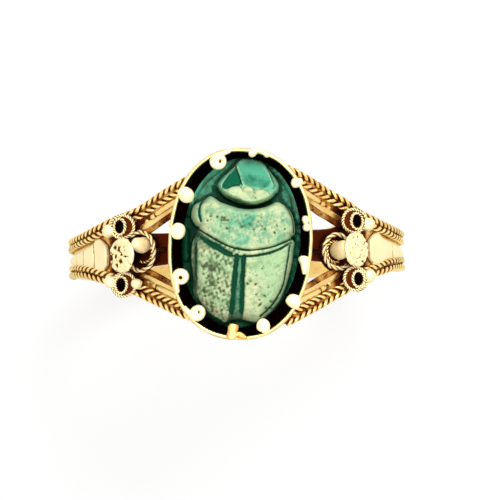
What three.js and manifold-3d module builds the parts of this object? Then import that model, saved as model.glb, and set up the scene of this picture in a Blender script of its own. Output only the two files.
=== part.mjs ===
import * as THREE from "three";
import { mergeVertices } from "three/addons/utils/BufferGeometryUtils.js";
import Module from "manifold-3d";

// A gold finger ring with forked wire shoulders and a glazed scarab held by scrolled claws.
// Millimetres. The finger hole runs along Y, the bezel looks up along +Z, and the
// origin is the centre of the finger hole.

const wasm = await Module();
wasm.setup();

const degree = Math.PI / 180;
const fullTurn = 2 * Math.PI;
const solderGap = 0.03;

// Hoop
const boreDiameter = 18;
const hoopThickness = 1;
const shoulderThickness = 0.72;
const hoopBackHalfWidth = 1;
const hoopSideHalfWidth = 1.35;
const hoopCornerRound = 0.22;
const shoulderHalfWidth = 2.62;
const tongueTuck = 0.3;
const plateTipHalfWidth = 0.92;
const plateFullAhead = 11.8 * degree;
const shoulderAhead = 6.8 * degree;
const shoulderStartBehind = 4.7 * degree;

// Forked arms
const armSpread = 4.8;
const armRise = 1.75;
const armStartAngle = 14 * degree;
const edgeWireEndAngle = 100 * degree;
const plainWireAhead = 3.3 * degree;
const thinWireAhead = 0.2 * degree;
const edgeWireRadius = 0.2;
const plainWireRadius = 0.2;
const thinWireRadius = 0.1;
const thinWireDrift = 0.2;
const plainWireSink = 0.35;
const thinWireSink = 0.25;
const armFadeBehind = 10 * degree;
const armFadeAhead = 2 * degree;

// Collet
const bezelHalfWidth = 4.16;
const bezelHalfLength = 5.59;
const bezelFullness = 0.88;
const bezelTurn = -4.4 * degree;
const colletFloor = 9.12;
const ledgeThickness = 0.34;
const ledgeWidth = 1.25;
const colletHeight = 2.95;
const colletWall = 0.24;
const colletFlare = -0.12;
const rimWireRadius = 0.15;

// Claws
const clawDiscRadius = 0.53;
const clawWireRadius = 0.2;
const clawFlatness = 0.8;
const clawReach = 0.34;

// Scarab
const stoneSideGap = 0.61;
const stoneEndGap = 0.49;
const stoneRebate = 0.1;
const rebateGap = 0.34;
const scarabTurn = -6.4 * degree;
const scarabShiftAcross = 0.08;
const scarabShiftAlong = 0.17;
const scarabHeight = 4.5;
const plinthHeight = 1.25;
const bodyFootHeight = 1.9;
const backSideGap = 0.05;
const backEndReach = 0.15;
const backCentre = -0.2;
const wingCaseSideGap = 0.5;
const wingCaseHalfLength = 3.84;
const wingCaseEndGap = 0.06;
const thoraxSideGap = 0.4;
const thoraxHalfLength = 1.5;
const thoraxCentre = 1.06;
const thoraxRise = 0.12;
const headSideGap = 1.45;
const headHalfLength = 1.3;
const headEndGap = 0.14;
const headRise = -0.2;
const headDroop = 0.6;
const grooveRadius = 0.11;
const seamHalfSpacing = 0.3;
const legRadius = 0.26;

// Shoulder clusters
const clusterReach = 1.58;
const baseRingRadius = 1.1;
const baseRingWireRadius = 0.11;
const nearLoopRadius = 1;
const nearLoopWireRadius = 0.14;
const innerLoopRadius = 0.64;
const innerLoopWireRadius = 0.1;
const sideLoopAhead = 5 * degree;
const sideLoopOffset = 1.63;
const sideLoopHalfWidth = 0.64;
const sideLoopHalfLength = 0.74;
const sideLoopLean = -14 * degree;
const sideLoopLift = 0.76;
const sideLoopWireRadius = 0.15;
const rosetteAhead = 4.4 * degree;
const rosetteRadius = 1.1;
const rosetteLean = 8 * degree;
const rosetteLift = 1.06;
const rosetteDiscThickness = 0.16;
const collarRadius = 0.57;
const rosetteGrainRadius = 0.18;
const domeGrainBehind = 0.4 * degree;
const domeGrainRadius = 0.54;
const domeGrainHeight = 0.92;
const cornerGrainRadius = 0.37;
const cornerGrainAhead = 12.2 * degree;
const cornerGrainOffset = 1.55;
const joinGrainRadius = 0.31;
const joinGrainAhead = 0.1 * degree;
const joinGrainOffset = 2.04;
const stubRadius = 0.15;

// Leaves
const leafAhead = 15.8 * degree;
const leafEndAngle = 89 * degree;
const leafHalfWidth = 1.02;
const leafThickness = 0.3;
const leafShift = -0.18;

const boreRadius = boreDiameter / 2;
const shoulderRadius = boreRadius + shoulderThickness;
const plateEndAngle = Math.asin((bezelHalfWidth - tongueTuck) / shoulderRadius);
const nearLoopAngle = Math.asin((bezelHalfWidth + clusterReach) / shoulderRadius);
const shoulderStartAngle = nearLoopAngle - shoulderStartBehind;
const plainWireEndAngle = nearLoopAngle + plainWireAhead;
const thinWireEndAngle = nearLoopAngle + thinWireAhead;
const domeGrainAngle = nearLoopAngle - domeGrainBehind;
const joinGrainAngle = nearLoopAngle + joinGrainAhead;
const rosetteAngle = nearLoopAngle + rosetteAhead;
const sideLoopAngle = nearLoopAngle + sideLoopAhead;
const shoulderAngle = nearLoopAngle + shoulderAhead;
const plateFullAngle = nearLoopAngle + plateFullAhead;
const cornerGrainAngle = nearLoopAngle + cornerGrainAhead;
const leafStartAngle = nearLoopAngle + leafAhead;
const colletTop = colletFloor + colletHeight;
const scarabBase = colletFloor + ledgeThickness + solderGap;
const scarabHalfWidth = bezelHalfWidth - stoneSideGap;
const scarabHalfLength = bezelHalfLength - stoneEndGap;
const backHalfWidth = scarabHalfWidth - backSideGap;
const backHalfLength = scarabHalfLength + backEndReach;
const wingCaseHalfWidth = scarabHalfWidth - wingCaseSideGap;
const wingCaseCentre = wingCaseHalfLength + wingCaseEndGap - scarabHalfLength;
const thoraxHalfWidth = scarabHalfWidth - thoraxSideGap;
const headHalfWidth = scarabHalfWidth - headSideGap;
const headCentre = scarabHalfLength - headHalfLength - headEndGap;

// The clusters were soldered on by eye, so each sits a little off the middle of its shoulder,
// and the forked arms of the right side spread wider than those of the left.
const sides = [
  {
    name: "right",
    sign: 1,
    clusterShift: -0.27,
    loopShift: -0.38,
    grainShift: -0.27,
    armBulge: 0.15,
    armShift: 0,
  },
  {
    name: "left",
    sign: -1,
    clusterShift: -0.3,
    loopShift: -0.07,
    grainShift: 0.1,
    armBulge: -0.25,
    armShift: -0.1,
  },
];
const flanks = [{ name: "upper", sign: 1 }, { name: "lower", sign: -1 }];

const gold = new THREE.MeshStandardMaterial({ color: 0xd9a441, roughness: 0.28, metalness: 1 });
const darkGold = new THREE.MeshStandardMaterial({ color: 0xa9762a, roughness: 0.4, metalness: 1 });
const glaze = new THREE.MeshStandardMaterial({ color: 0x5fae93, roughness: 0.35, metalness: 0 });

// Turn a closed geometry into a solid that can be joined and cut.
function solidOf(geometry) {
  const bare = geometry.clone();
  bare.deleteAttribute("normal");
  bare.deleteAttribute("uv");
  const merged = mergeVertices(bare);
  return new wasm.Manifold(new wasm.Mesh({
    numProp: 3,
    vertProperties: new Float32Array(merged.attributes.position.array),
    triVerts: new Uint32Array(merged.index.array),
  }));
}

function geometryOf(solid) {
  const mesh = solid.getMesh();
  return closedGeometry(mesh.vertProperties, mesh.triVerts);
}

function closedGeometry(positions, triangles) {
  const geometry = new THREE.BufferGeometry();
  geometry.setAttribute("position", new THREE.BufferAttribute(new Float32Array(positions), 3));
  geometry.setIndex([...triangles]);
  geometry.computeVertexNormals();
  return geometry;
}

// Skin a row of frames with rings of section points. A frame has an origin and the two
// directions of its section plane, and the ring runs anticlockwise seen against the travel.
// Each four-cornered patch is split along its shorter diagonal.
function sweep(frames, sectionAt, closed = false) {
  const triangles = [];
  const rings = frames.length;
  const corners = sectionAt(0).length;
  const points = frames.flatMap((frame, ring) => sectionAt(ring).map(([across, up]) => (
    frame.origin.clone().addScaledVector(frame.across, across).addScaledVector(frame.up, up)
  )));
  const spans = closed ? rings : rings - 1;
  for (let ring = 0; ring < spans; ring += 1) {
    const here = ring * corners;
    const next = ((ring + 1) % rings) * corners;
    for (let corner = 0; corner < corners; corner += 1) {
      const turn = (corner + 1) % corners;
      const [a, b, c, d] = [here + corner, here + turn, next + turn, next + corner];
      const leansBack = points[b].distanceTo(points[d]) < points[a].distanceTo(points[c]);
      triangles.push(...(leansBack ? [a, b, d, b, c, d] : [a, b, c, a, c, d]));
    }
  }
  if (!closed) {
    const last = (rings - 1) * corners;
    for (let corner = 1; corner < corners - 1; corner += 1) {
      triangles.push(0, corner + 1, corner);
      triangles.push(last, last + corner, last + corner + 1);
    }
  }
  return closedGeometry(points.flatMap((point) => point.toArray()), triangles);
}

function roundSection(radius, corners, flatness = 1) {
  return Array.from({ length: corners }, (_, corner) => {
    const angle = (fullTurn * corner) / corners;
    return [radius * Math.cos(angle), radius * flatness * Math.sin(angle)];
  });
}

// Two strands wound together, in section a long lozenge that turns along the wire.
const strandWaistShare = 0.62;

function twistedSection(radius, angle) {
  return [1, strandWaistShare, 1, strandWaistShare].map((share, corner) => {
    const turn = angle + (corner * fullTurn) / 4;
    return [radius * share * Math.cos(turn), radius * share * Math.sin(turn)];
  });
}

const twistStepsPerTurn = 5;
const layShare = 2.5;

// Half width of hoop and shoulders, and radius of their outer face, against the angle
// from the bezel. Shares run from the hoop's side value to the shoulder or arm value.
const spreadCurve = new THREE.SplineCurve([
  new THREE.Vector2(armStartAngle, armSpread),
  new THREE.Vector2((armStartAngle + shoulderAngle) / 2, (armSpread + shoulderHalfWidth) / 2),
  new THREE.Vector2(shoulderAngle, shoulderHalfWidth),
  new THREE.Vector2(leafStartAngle, (shoulderHalfWidth + hoopSideHalfWidth) / 2),
  new THREE.Vector2((leafStartAngle + leafEndAngle) / 2, hoopSideHalfWidth),
  new THREE.Vector2(edgeWireEndAngle, (hoopSideHalfWidth + hoopBackHalfWidth) / 2),
  new THREE.Vector2(Math.PI, hoopBackHalfWidth),
]);

const shellCurve = new THREE.SplineCurve([
  new THREE.Vector2(armStartAngle, boreRadius + armRise),
  new THREE.Vector2(shoulderStartAngle, shoulderRadius),
  new THREE.Vector2(shoulderAngle, shoulderRadius),
  new THREE.Vector2((leafStartAngle + leafEndAngle) / 2, boreRadius + hoopThickness),
  new THREE.Vector2(Math.PI, boreRadius + hoopThickness),
]);

const halvings = 24;

function valueAt(curve, angle) {
  let low = 0;
  let high = 1;
  for (let step = 0; step < halvings; step += 1) {
    const middle = (low + high) / 2;
    if (curve.getPoint(middle).x < angle) low = middle;
    else high = middle;
  }
  return curve.getPoint(low).y;
}

const halfWidthAt = (angle) => valueAt(spreadCurve, angle);
const shellRadiusAt = (angle) => valueAt(shellCurve, angle);

// The plate under the clusters runs out between the arms as a tongue, to the collet's foot.
const plateFullHalfWidth = halfWidthAt(plateFullAngle);
const tongueCurve = new THREE.SplineCurve([
  new THREE.Vector2(plateEndAngle, plateTipHalfWidth),
  new THREE.Vector2(nearLoopAngle, baseRingRadius),
  new THREE.Vector2((nearLoopAngle + plateFullAngle) / 2, (baseRingRadius + plateFullHalfWidth) / 2),
  new THREE.Vector2(plateFullAngle, plateFullHalfWidth),
]);

function plateHalfWidthAt(angle) {
  return angle < plateFullAngle ? valueAt(tongueCurve, angle) : halfWidthAt(angle);
}

// A point over the shoulder: angle from the bezel, place along the finger, height
// above the outer face.
function shellPoint(sign, angle, along, lift = 0) {
  const radius = shellRadiusAt(angle) + lift;
  return new THREE.Vector3(sign * radius * Math.sin(angle), along, radius * Math.cos(angle));
}

// A row of frames along a run of points, square to the run, with up away from the finger.
function framesAlong(points, upAt, closed = false) {
  const count = points.length;
  return points.map((origin, index) => {
    const before = closed ? points[(index + count - 1) % count] : points[Math.max(index - 1, 0)];
    const after = closed ? points[(index + 1) % count] : points[Math.min(index + 1, count - 1)];
    const travel = after.clone().sub(before).normalize();
    const up = upAt(origin, index);
    up.addScaledVector(travel, -up.dot(travel)).normalize();
    const across = up.clone().cross(travel);
    return { origin: origin.clone(), across, up, travel };
  });
}

const awayFromFinger = (point) => new THREE.Vector3(point.x, 0, point.z).normalize();

const part = new THREE.Group();

function place(parent, name, geometry, material) {
  const mesh = new THREE.Mesh(geometry, material);
  mesh.name = name;
  parent.add(mesh);
  return mesh;
}

const sinkPower = 4;

// Hoop: from one shoulder plate round the back of the finger to the other.
const hoopSteps = 52;

function hoopGeometry() {
  const frames = [];
  const sizes = [];
  for (let step = 0; step <= hoopSteps; step += 1) {
    const turn = plateEndAngle + ((fullTurn - 2 * plateEndAngle) * step) / hoopSteps;
    const angle = Math.min(turn, fullTurn - turn);
    frames.push({
      origin: new THREE.Vector3(),
      across: new THREE.Vector3(0, 1, 0),
      up: new THREE.Vector3(Math.sin(turn), 0, Math.cos(turn)),
    });
    sizes.push({ halfWidth: plateHalfWidthAt(angle), outer: shellRadiusAt(angle) });
  }
  return sweep(frames, (step) => {
    const { halfWidth, outer } = sizes[step];
    const shelf = halfWidth - hoopCornerRound;
    return [
      [-shelf, boreRadius],
      [shelf, boreRadius],
      [halfWidth, boreRadius + hoopCornerRound],
      [halfWidth, outer - hoopCornerRound],
      [shelf, outer],
      [-shelf, outer],
      [-halfWidth, outer - hoopCornerRound],
      [-halfWidth, boreRadius + hoopCornerRound],
    ];
  });
}

// The arms' own spread and shift fade out where they run into the shoulder plate.
const armFadeStart = plateFullAngle - armFadeBehind;
const armFadeEnd = plateFullAngle + armFadeAhead;
const armShareAt = (angle) => 1 - THREE.MathUtils.smoothstep(angle, armFadeStart, armFadeEnd);

// Frames on the outer face along the edge of an arm and of the hoop behind it, drawn in
// from the edge by the inset, raised by the lift and let down by the sink near the end.
function edgeFrames(side, flank, endAngle, count, insetAt, lift, sink = 0) {
  const outline = Array.from({ length: count + 1 }, (_, step) => {
    const angle = armStartAngle + ((endAngle - armStartAngle) * step) / count;
    const share = armShareAt(angle);
    const spread = halfWidthAt(angle) + side.armBulge * share;
    return shellPoint(side.sign, angle, flank.sign * spread + side.armShift * share);
  });
  return framesAlong(outline, awayFromFinger).map((frame, step) => {
    const share = step / count;
    const inward = -side.sign * flank.sign * insetAt(share);
    const origin = frame.origin.clone()
      .addScaledVector(frame.across, inward)
      .addScaledVector(frame.up, lift - sink * share ** sinkPower);
    return { ...frame, origin };
  });
}

// Put a piece over the shoulder, its own Z away from the finger and its X round the hoop.
function seat(object, side, angle, along, lift, lean = 0) {
  object.position.copy(shellPoint(side.sign, angle, along, lift));
  object.rotation.y = side.sign * (angle + lean);
  return object;
}

// Cut a placed mesh by other placed meshes that are not part of the ring, and keep the
// main body without the crumbs that a cut leaves.
function cutAway(mesh, cutters) {
  mesh.updateMatrixWorld(true);
  const toLocal = mesh.matrixWorld.clone().invert();
  let solid = solidOf(mesh.geometry);
  for (const cutter of cutters) {
    cutter.updateMatrixWorld(true);
    const shape = cutter.geometry.clone();
    shape.applyMatrix4(toLocal.clone().multiply(cutter.matrixWorld));
    solid = solid.subtract(solidOf(shape));
  }
  const bodies = solid.decompose().sort((a, b) => b.volume() - a.volume());
  mesh.geometry = geometryOf(bodies[0]);
}

// A direction's share filled out towards the corners of the oval: 1 leaves it a plain oval.
const filled = (share, fullness) => Math.sign(share) * Math.abs(share) ** fullness;

// A revolved outline pressed from a circle into an oval. Each outline point is a distance
// out from the oval and a height.
const ovalSegments = 40;

function ovalGeometry(outline, halfWidth, halfLength, fullness = 1) {
  const points = outline.map(([out, height]) => new THREE.Vector2(Math.max(halfWidth + out, 0), height));
  const geometry = new THREE.LatheGeometry(points, ovalSegments).rotateX(Math.PI / 2);
  const position = geometry.attributes.position;
  for (let index = 0; index < position.count; index += 1) {
    const x = position.getX(index);
    const y = position.getY(index);
    const radius = Math.hypot(x, y);
    const stretch = radius * (halfLength / halfWidth);
    const pushed = radius > halfWidth / 2 ? radius + halfLength - halfWidth : stretch;
    if (radius > 0) {
      position.setX(index, filled(x / radius, fullness) * radius);
      position.setY(index, filled(y / radius, fullness) * pushed);
    }
  }
  return geometry;
}

const bezel = new THREE.Group();
bezel.rotation.z = bezelTurn;
part.add(bezel);

const wallFoot = colletFloor + ledgeThickness + solderGap;
const rimHeight = colletTop + solderGap + rimWireRadius;

function colletOutline(clearance) {
  return [
    [-bezelHalfWidth, colletFloor - clearance],
    [colletWall / 2 + colletFlare + clearance, colletFloor - clearance],
    [colletWall / 2 + clearance, colletTop + clearance],
    [-bezelHalfWidth, colletTop + clearance],
  ];
}

place(bezel, "collet_base", ovalGeometry([
  [colletWall / 2 + colletFlare, colletFloor],
  [colletWall / 2 + colletFlare, colletFloor + ledgeThickness],
  [colletWall / 2 - ledgeWidth, colletFloor + ledgeThickness],
  [colletWall / 2 - ledgeWidth, colletFloor],
  [colletWall / 2 + colletFlare, colletFloor],
], bezelHalfWidth, bezelHalfLength, bezelFullness), darkGold);

place(bezel, "collet_wall", ovalGeometry([
  [colletWall / 2 + colletFlare, wallFoot],
  [colletWall / 2, colletTop],
  [-colletWall / 2, colletTop],
  [-colletWall / 2 + colletFlare, wallFoot],
  [colletWall / 2 + colletFlare, wallFoot],
], bezelHalfWidth, bezelHalfLength, bezelFullness), darkGold);

const rimCorners = 6;
const rimOutline = [...roundSection(rimWireRadius, rimCorners), [rimWireRadius, 0]]
  .map(([out, up]) => [out, rimHeight + up]);
place(
  bezel,
  "collet_rim",
  ovalGeometry(rimOutline, bezelHalfWidth, bezelHalfLength, bezelFullness),
  gold,
);

const colletCutter = new THREE.Mesh(
  ovalGeometry(colletOutline(solderGap), bezelHalfWidth, bezelHalfLength, bezelFullness),
);
colletCutter.rotation.z = bezelTurn;

// Claws: flat wires that leave the rim and end in a scroll or a melted bead over the stone.
const clawHeight = rimHeight + rimWireRadius + solderGap + clawWireRadius * clawFlatness;
const clawCorners = 6;
const scrollSteps = 11;
const scrollTurnShare = 0.77;
const scrollEndShare = 0.62;
const scrollThinShare = 0.6;
const scrollStemShare = 1.7;

// Each row is a place along the rim, a place inward from the disc's centre and a thickness,
// all as shares of the disc's radius. Girth is the thickest point as such a share.
const clawFormShares = {
  bead: {
    girth: 1,
    path: [[0, -1, 0.45], [0, -0.6, 0.78], [0, -0.15, 1], [0, 0.35, 0.95], [0, 0.75, 0.65], [0, 0.95, 0.3]],
  },
  twin: {
    girth: 0.5,
    path: [
      [-1, 0, 0.35], [-0.8, 0, 0.85], [-0.4, 0, 1], [0, 0, 0.7], [0.4, 0, 1], [0.8, 0, 0.85], [1, 0, 0.35],
    ],
  },
  wedge: {
    girth: 0.66,
    path: [[-1.1, -0.25, 0.4], [-0.5, -0.15, 0.6], [0.1, -0.05, 0.8], [0.6, 0.1, 1], [0.95, 0.15, 0.7]],
  },
  prong: {
    girth: 0.62,
    path: [[0.1, -1, 0.9], [0, -0.5, 0.85], [0, 0, 0.7], [0.05, 0.5, 0.8], [0, 0.95, 0.4]],
  },
  cross: {
    girth: 1.1,
    path: [
      [-4.2, -0.4, 0.4], [-3.7, -0.3, 0.8], [-3, -0.7, 0.6], [-1.4, -1, 0.5],
      [-0.6, -0.4, 0.8], [0, 0, 1], [0.6, 0.1, 0.8], [0.95, 0.1, 0.35],
    ],
  },
};

// Where the claws stand: turn is a share of the way round the rim from the right-hand
// side, reach a share of the common reach, and size a share of the common disc radius.
const clawShares = [
  { form: "scroll", hand: 1, turn: 0.31, reach: 1.4, size: 1 },
  { form: "cross", turn: 0.238, reach: 0.6, size: 0.46 },
  { form: "bead", turn: 0.113, reach: 0.37, size: 0.62 },
  { form: "twin", turn: 0.034, reach: 0.76, size: 0.84 },
  { form: "wedge", turn: 0.975, reach: 0.86, size: 0.95 },
  { form: "bead", turn: 0.906, reach: 0.71, size: 0.78 },
  { form: "bead", turn: 0.814, reach: 1.32, size: 0.82 },
  { form: "prong", turn: 0.745, reach: 1.11, size: 0.85 },
  { form: "scroll", hand: 1, turn: 0.648, reach: 1.43, size: 0.96 },
  { form: "scroll", hand: -1, turn: 0.56, reach: 1.48, size: 1 },
  { form: "bead", turn: 0.489, reach: 1.18, size: 0.92 },
  { form: "bead", turn: 0.423, reach: 1.13, size: 0.88 },
];

function scrollPath(hand, disc) {
  const start = disc - clawWireRadius;
  const stem = disc * scrollStemShare;
  const path = [
    [-hand * stem, -start, clawWireRadius * scrollThinShare],
    [(-hand * stem) / 2, -start, clawWireRadius * scrollEndShare],
  ];
  for (let step = 0; step <= scrollSteps; step += 1) {
    const share = step / scrollSteps;
    const angle = fullTurn * scrollTurnShare * share;
    const radius = THREE.MathUtils.lerp(start, start * scrollEndShare, share);
    const thick = clawWireRadius * THREE.MathUtils.lerp(1, scrollThinShare, share * share);
    path.push([hand * radius * Math.sin(angle), -radius * Math.cos(angle), thick]);
  }
  return path;
}

function clawGeometry({ form, hand, turn, reach, size }) {
  const disc = clawDiscRadius * size;
  const shape = clawFormShares[form];
  const path = shape
    ? shape.path.map(([along, inward, thick]) => [along * disc, inward * disc, thick * disc * shape.girth])
    : scrollPath(hand, disc);
  const angle = fullTurn * turn;
  const cosine = Math.cos(angle);
  const sine = Math.sin(angle);
  const foot = new THREE.Vector3(
    bezelHalfWidth * filled(cosine, bezelFullness), bezelHalfLength * filled(sine, bezelFullness), clawHeight,
  );
  const along = new THREE.Vector3(
    -bezelHalfWidth * sine * Math.abs(cosine) ** (bezelFullness - 1),
    bezelHalfLength * cosine * Math.abs(sine) ** (bezelFullness - 1),
    0,
  ).normalize();
  const inward = new THREE.Vector3(-along.y, along.x, 0);
  const points = path.map(([forward, toStone]) => foot.clone()
    .addScaledVector(along, forward)
    .addScaledVector(inward, clawReach * reach + toStone));
  const frames = framesAlong(points, () => new THREE.Vector3(0, 0, 1));
  return sweep(frames, (step) => {
    const thick = path[step][2];
    const height = Math.min(thick, clawWireRadius) * clawFlatness;
    return roundSection(thick, clawCorners, height / thick);
  });
}

clawShares.forEach((claw, index) => {
  const number = String(index + 1).padStart(2, "0");
  place(bezel, `claw_${number}`, clawGeometry(claw), gold);
});

// Scarab: plinth, legs, wing cases, thorax and head are one carved stone.
const scarab = new THREE.Group();
scarab.rotation.z = scarabTurn;
scarab.position.set(scarabShiftAcross, scarabShiftAlong, scarabBase);
part.add(scarab);

const planSquareness = 2.4;
const backSquareness = 2.3;
const edgeSquareness = 4;
const domeShares = [1, 0.97, 0.88, 0.7, 0.48, 0.24];
const domeSegments = 28;
const domeSink = 0.3;

const wingCases = {
  halfWidth: wingCaseHalfWidth,
  halfLength: wingCaseHalfLength,
  centre: wingCaseCentre,
  rise: 0,
  droop: 0,
  taper: 0,
};
const thorax = {
  halfWidth: thoraxHalfWidth,
  halfLength: thoraxHalfLength,
  centre: thoraxCentre,
  rise: thoraxRise,
  droop: 0,
  taper: 0,
};
const headForm = {
  halfWidth: headHalfWidth,
  halfLength: headHalfLength,
  centre: headCentre,
  rise: headRise,
  droop: headDroop,
  taper: 0.32,
};

// The beetle's arched back as one smooth form, before it is divided.
function backHeight(across, along) {
  const spread = Math.abs(across / backHalfWidth) ** backSquareness
    + Math.abs((along - backCentre) / backHalfLength) ** backSquareness;
  const rise = Math.max(1 - spread, 0) ** (1 / backSquareness);
  return bodyFootHeight + (scarabHeight - bodyFootHeight) * rise;
}

// A place in a division of the back, at a share of the way out to its edge. Its outline is
// a rounded oblong that may taper towards the head, and its edge rolls over to the foot.
function placeOn(form, share, angle) {
  const cosine = Math.cos(angle);
  const sine = Math.sin(angle);
  const reach = share * (Math.abs(cosine) ** planSquareness + Math.abs(sine) ** planSquareness)
    ** (-1 / planSquareness);
  const along = form.centre + reach * sine * form.halfLength;
  const across = reach * cosine * form.halfWidth * (1 - (form.taper * (1 + reach * sine)) / 2);
  const roll = (1 - Math.min(share, 1) ** edgeSquareness) ** (1 / edgeSquareness);
  const top = backHeight(across, along) + form.rise - form.droop * Math.max(reach * sine, 0);
  return new THREE.Vector3(across, along, bodyFootHeight + (top - bodyFootHeight) * roll);
}

// A division of the back as a solid: a revolved outline whose rings are moved to its form.
function domeGeometry(form) {
  const outline = [
    new THREE.Vector2(0, -domeSink),
    new THREE.Vector2(1, -domeSink),
    ...domeShares.map((share) => new THREE.Vector2(share, 0)),
    new THREE.Vector2(0, 0),
  ];
  const geometry = new THREE.LatheGeometry(outline, domeSegments).rotateX(Math.PI / 2);
  const position = geometry.attributes.position;
  for (let index = 0; index < position.count; index += 1) {
    const share = Math.hypot(position.getX(index), position.getY(index));
    const angle = Math.atan2(position.getY(index), position.getX(index));
    const spot = placeOn(form, share, angle);
    const sunk = position.getZ(index) < -domeSink / 2;
    position.setXYZ(index, spot.x, spot.y, sunk ? plinthHeight - domeSink : spot.z);
  }
  return geometry;
}

// A thin round cutter laid along places on the stone.
const grooveCorners = 5;

function grooveSolid(places) {
  const frames = framesAlong(places, () => new THREE.Vector3(0, 0, 1));
  return solidOf(sweep(frames, () => roundSection(grooveRadius, grooveCorners)));
}

const grooveSteps = 8;
const seamStart = thoraxCentre - thoraxHalfLength - grooveRadius;
const seamEndShare = 0.97;
const seamEnd = wingCaseCentre - wingCaseHalfLength * seamEndShare;

function seamPlaces(across) {
  return Array.from({ length: grooveSteps + 1 }, (_, step) => {
    const along = THREE.MathUtils.lerp(seamStart, seamEnd, step / grooveSteps);
    return new THREE.Vector3(across, along, backHeight(across, along) - grooveRadius / 4);
  });
}

// A groove that follows the rear edge of a division of the back.
const borderShare = 0.87;

function borderPlaces(form) {
  return Array.from({ length: 2 * grooveSteps + 1 }, (_, step) => (
    placeOn(form, borderShare, -Math.PI * (1 - step / (2 * grooveSteps)))
  ));
}

// Folded legs lie on the plinth round the body, a front, a middle and a hind one each side.
const legCentreShare = 0.93;
const legTurnShares = [[0.09, 0.17], [-0.08, 0.05], [-0.2, -0.11]];
const legSteps = 5;

function legSolid(sign, [from, to]) {
  const points = Array.from({ length: legSteps + 1 }, (_, step) => {
    const angle = fullTurn * THREE.MathUtils.lerp(from, to, step / legSteps);
    return new THREE.Vector3(
      sign * scarabHalfWidth * legCentreShare * Math.cos(angle),
      scarabHalfLength * legCentreShare * Math.sin(angle),
      plinthHeight,
    );
  });
  const frames = framesAlong(points, () => new THREE.Vector3(0, 0, 1));
  return solidOf(sweep(frames, () => roundSection(legRadius, clawCorners)));
}

const plinthChamfer = 0.12;
const rebateOut = bezelHalfWidth + colletWall / 2 - ledgeWidth - rebateGap - scarabHalfWidth;
const plinthOutline = [
  [-scarabHalfWidth, -stoneRebate],
  [rebateOut, -stoneRebate],
  [rebateOut, 0],
  [-plinthChamfer, 0],
  [0, plinthChamfer],
  [0, plinthHeight - plinthChamfer],
  [-plinthChamfer, plinthHeight],
  [-scarabHalfWidth, plinthHeight],
];
let stone = solidOf(ovalGeometry(plinthOutline, scarabHalfWidth, scarabHalfLength));
for (const dome of [wingCases, thorax, headForm]) stone = stone.add(solidOf(domeGeometry(dome)));
for (const sign of [1, -1]) {
  for (const turns of legTurnShares) stone = stone.add(legSolid(sign, turns));
}
for (const across of [seamHalfSpacing, -seamHalfSpacing]) {
  stone = stone.subtract(grooveSolid(seamPlaces(across)));
}
for (const form of [wingCases, thorax]) stone = stone.subtract(grooveSolid(borderPlaces(form)));
place(scarab, "scarab", geometryOf(stone), glaze);

// Shoulders: the plate and hoop, then four forked arms of two twisted edge wires, a plain
// wire and a thin one, side by side.
cutAway(place(part, "hoop", hoopGeometry(), gold), [colletCutter]);

const edgeWireSteps = Math.round(
  ((edgeWireEndAngle - armStartAngle) * (boreRadius + hoopThickness) * twistStepsPerTurn)
    / (2 * edgeWireRadius * layShare),
);
const plainWireSteps = 9;
const plainCorners = 8;
const plainInset = 4 * edgeWireRadius + 2 * solderGap + plainWireRadius;
const thinInset = plainInset + plainWireRadius + solderGap + thinWireRadius;

for (const side of sides) {
  for (const flank of flanks) {
    const label = `${side.name}_${flank.name}`;
    const rows = [
      { name: "outer", inset: edgeWireRadius, hand: 1 },
      { name: "inner", inset: 3 * edgeWireRadius + solderGap, hand: -1 },
    ];
    for (const row of rows) {
      const frames = edgeFrames(
        side, flank, edgeWireEndAngle, edgeWireSteps, () => row.inset, edgeWireRadius + solderGap,
      );
      const twist = (row.hand * side.sign * flank.sign * fullTurn) / twistStepsPerTurn;
      const wire = sweep(frames, (step) => twistedSection(edgeWireRadius, twist * step));
      cutAway(place(part, `edge_wire_${row.name}_${label}`, wire, gold), [colletCutter]);
    }
    const plainFrames = edgeFrames(
      side, flank, plainWireEndAngle, plainWireSteps, () => plainInset, plainWireRadius + solderGap,
      plainWireSink,
    );
    const plain = sweep(plainFrames, () => roundSection(plainWireRadius, plainCorners));
    cutAway(place(part, `arm_wire_${label}`, plain, gold), [colletCutter]);
    const thinFrames = edgeFrames(
      side, flank, thinWireEndAngle, plainWireSteps, (share) => thinInset + thinWireDrift * share,
      thinWireRadius + solderGap, thinWireSink,
    );
    const thin = sweep(thinFrames, () => roundSection(thinWireRadius, clawCorners));
    cutAway(place(part, `inner_wire_${label}`, thin, gold), [colletCutter]);
  }
}

// Frames round a flat oval. An open one leaves out this angle each side of the direction
// that it faces.
function ringFrames(halfLength, halfWidth, steps, openAngle = 0, facing = 0) {
  const closed = openAngle === 0;
  const points = Array.from({ length: closed ? steps : steps + 1 }, (_, step) => {
    const angle = facing + THREE.MathUtils.lerp(openAngle, fullTurn - openAngle, step / steps);
    return new THREE.Vector3(halfLength * Math.cos(angle), halfWidth * Math.sin(angle), 0);
  });
  return framesAlong(points, () => new THREE.Vector3(0, 0, 1), closed);
}

// A ring of twisted wire lying flat.
function loopGeometry(halfLength, halfWidth, wireRadius, openAngle = 0, facing = 0) {
  const round = ((fullTurn - 2 * openAngle) * (halfLength + halfWidth)) / 2;
  const steps = Math.round(round / (2 * wireRadius * layShare)) * twistStepsPerTurn;
  const frames = ringFrames(halfLength, halfWidth, steps, openAngle, facing);
  const twist = fullTurn / twistStepsPerTurn;
  return sweep(frames, (step) => twistedSection(wireRadius, twist * step), openAngle === 0);
}

const baseRingSteps = 20;
const baseRingFoot = 2 * solderGap;
const nearLoopFoot = baseRingFoot + 2 * baseRingWireRadius;

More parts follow.
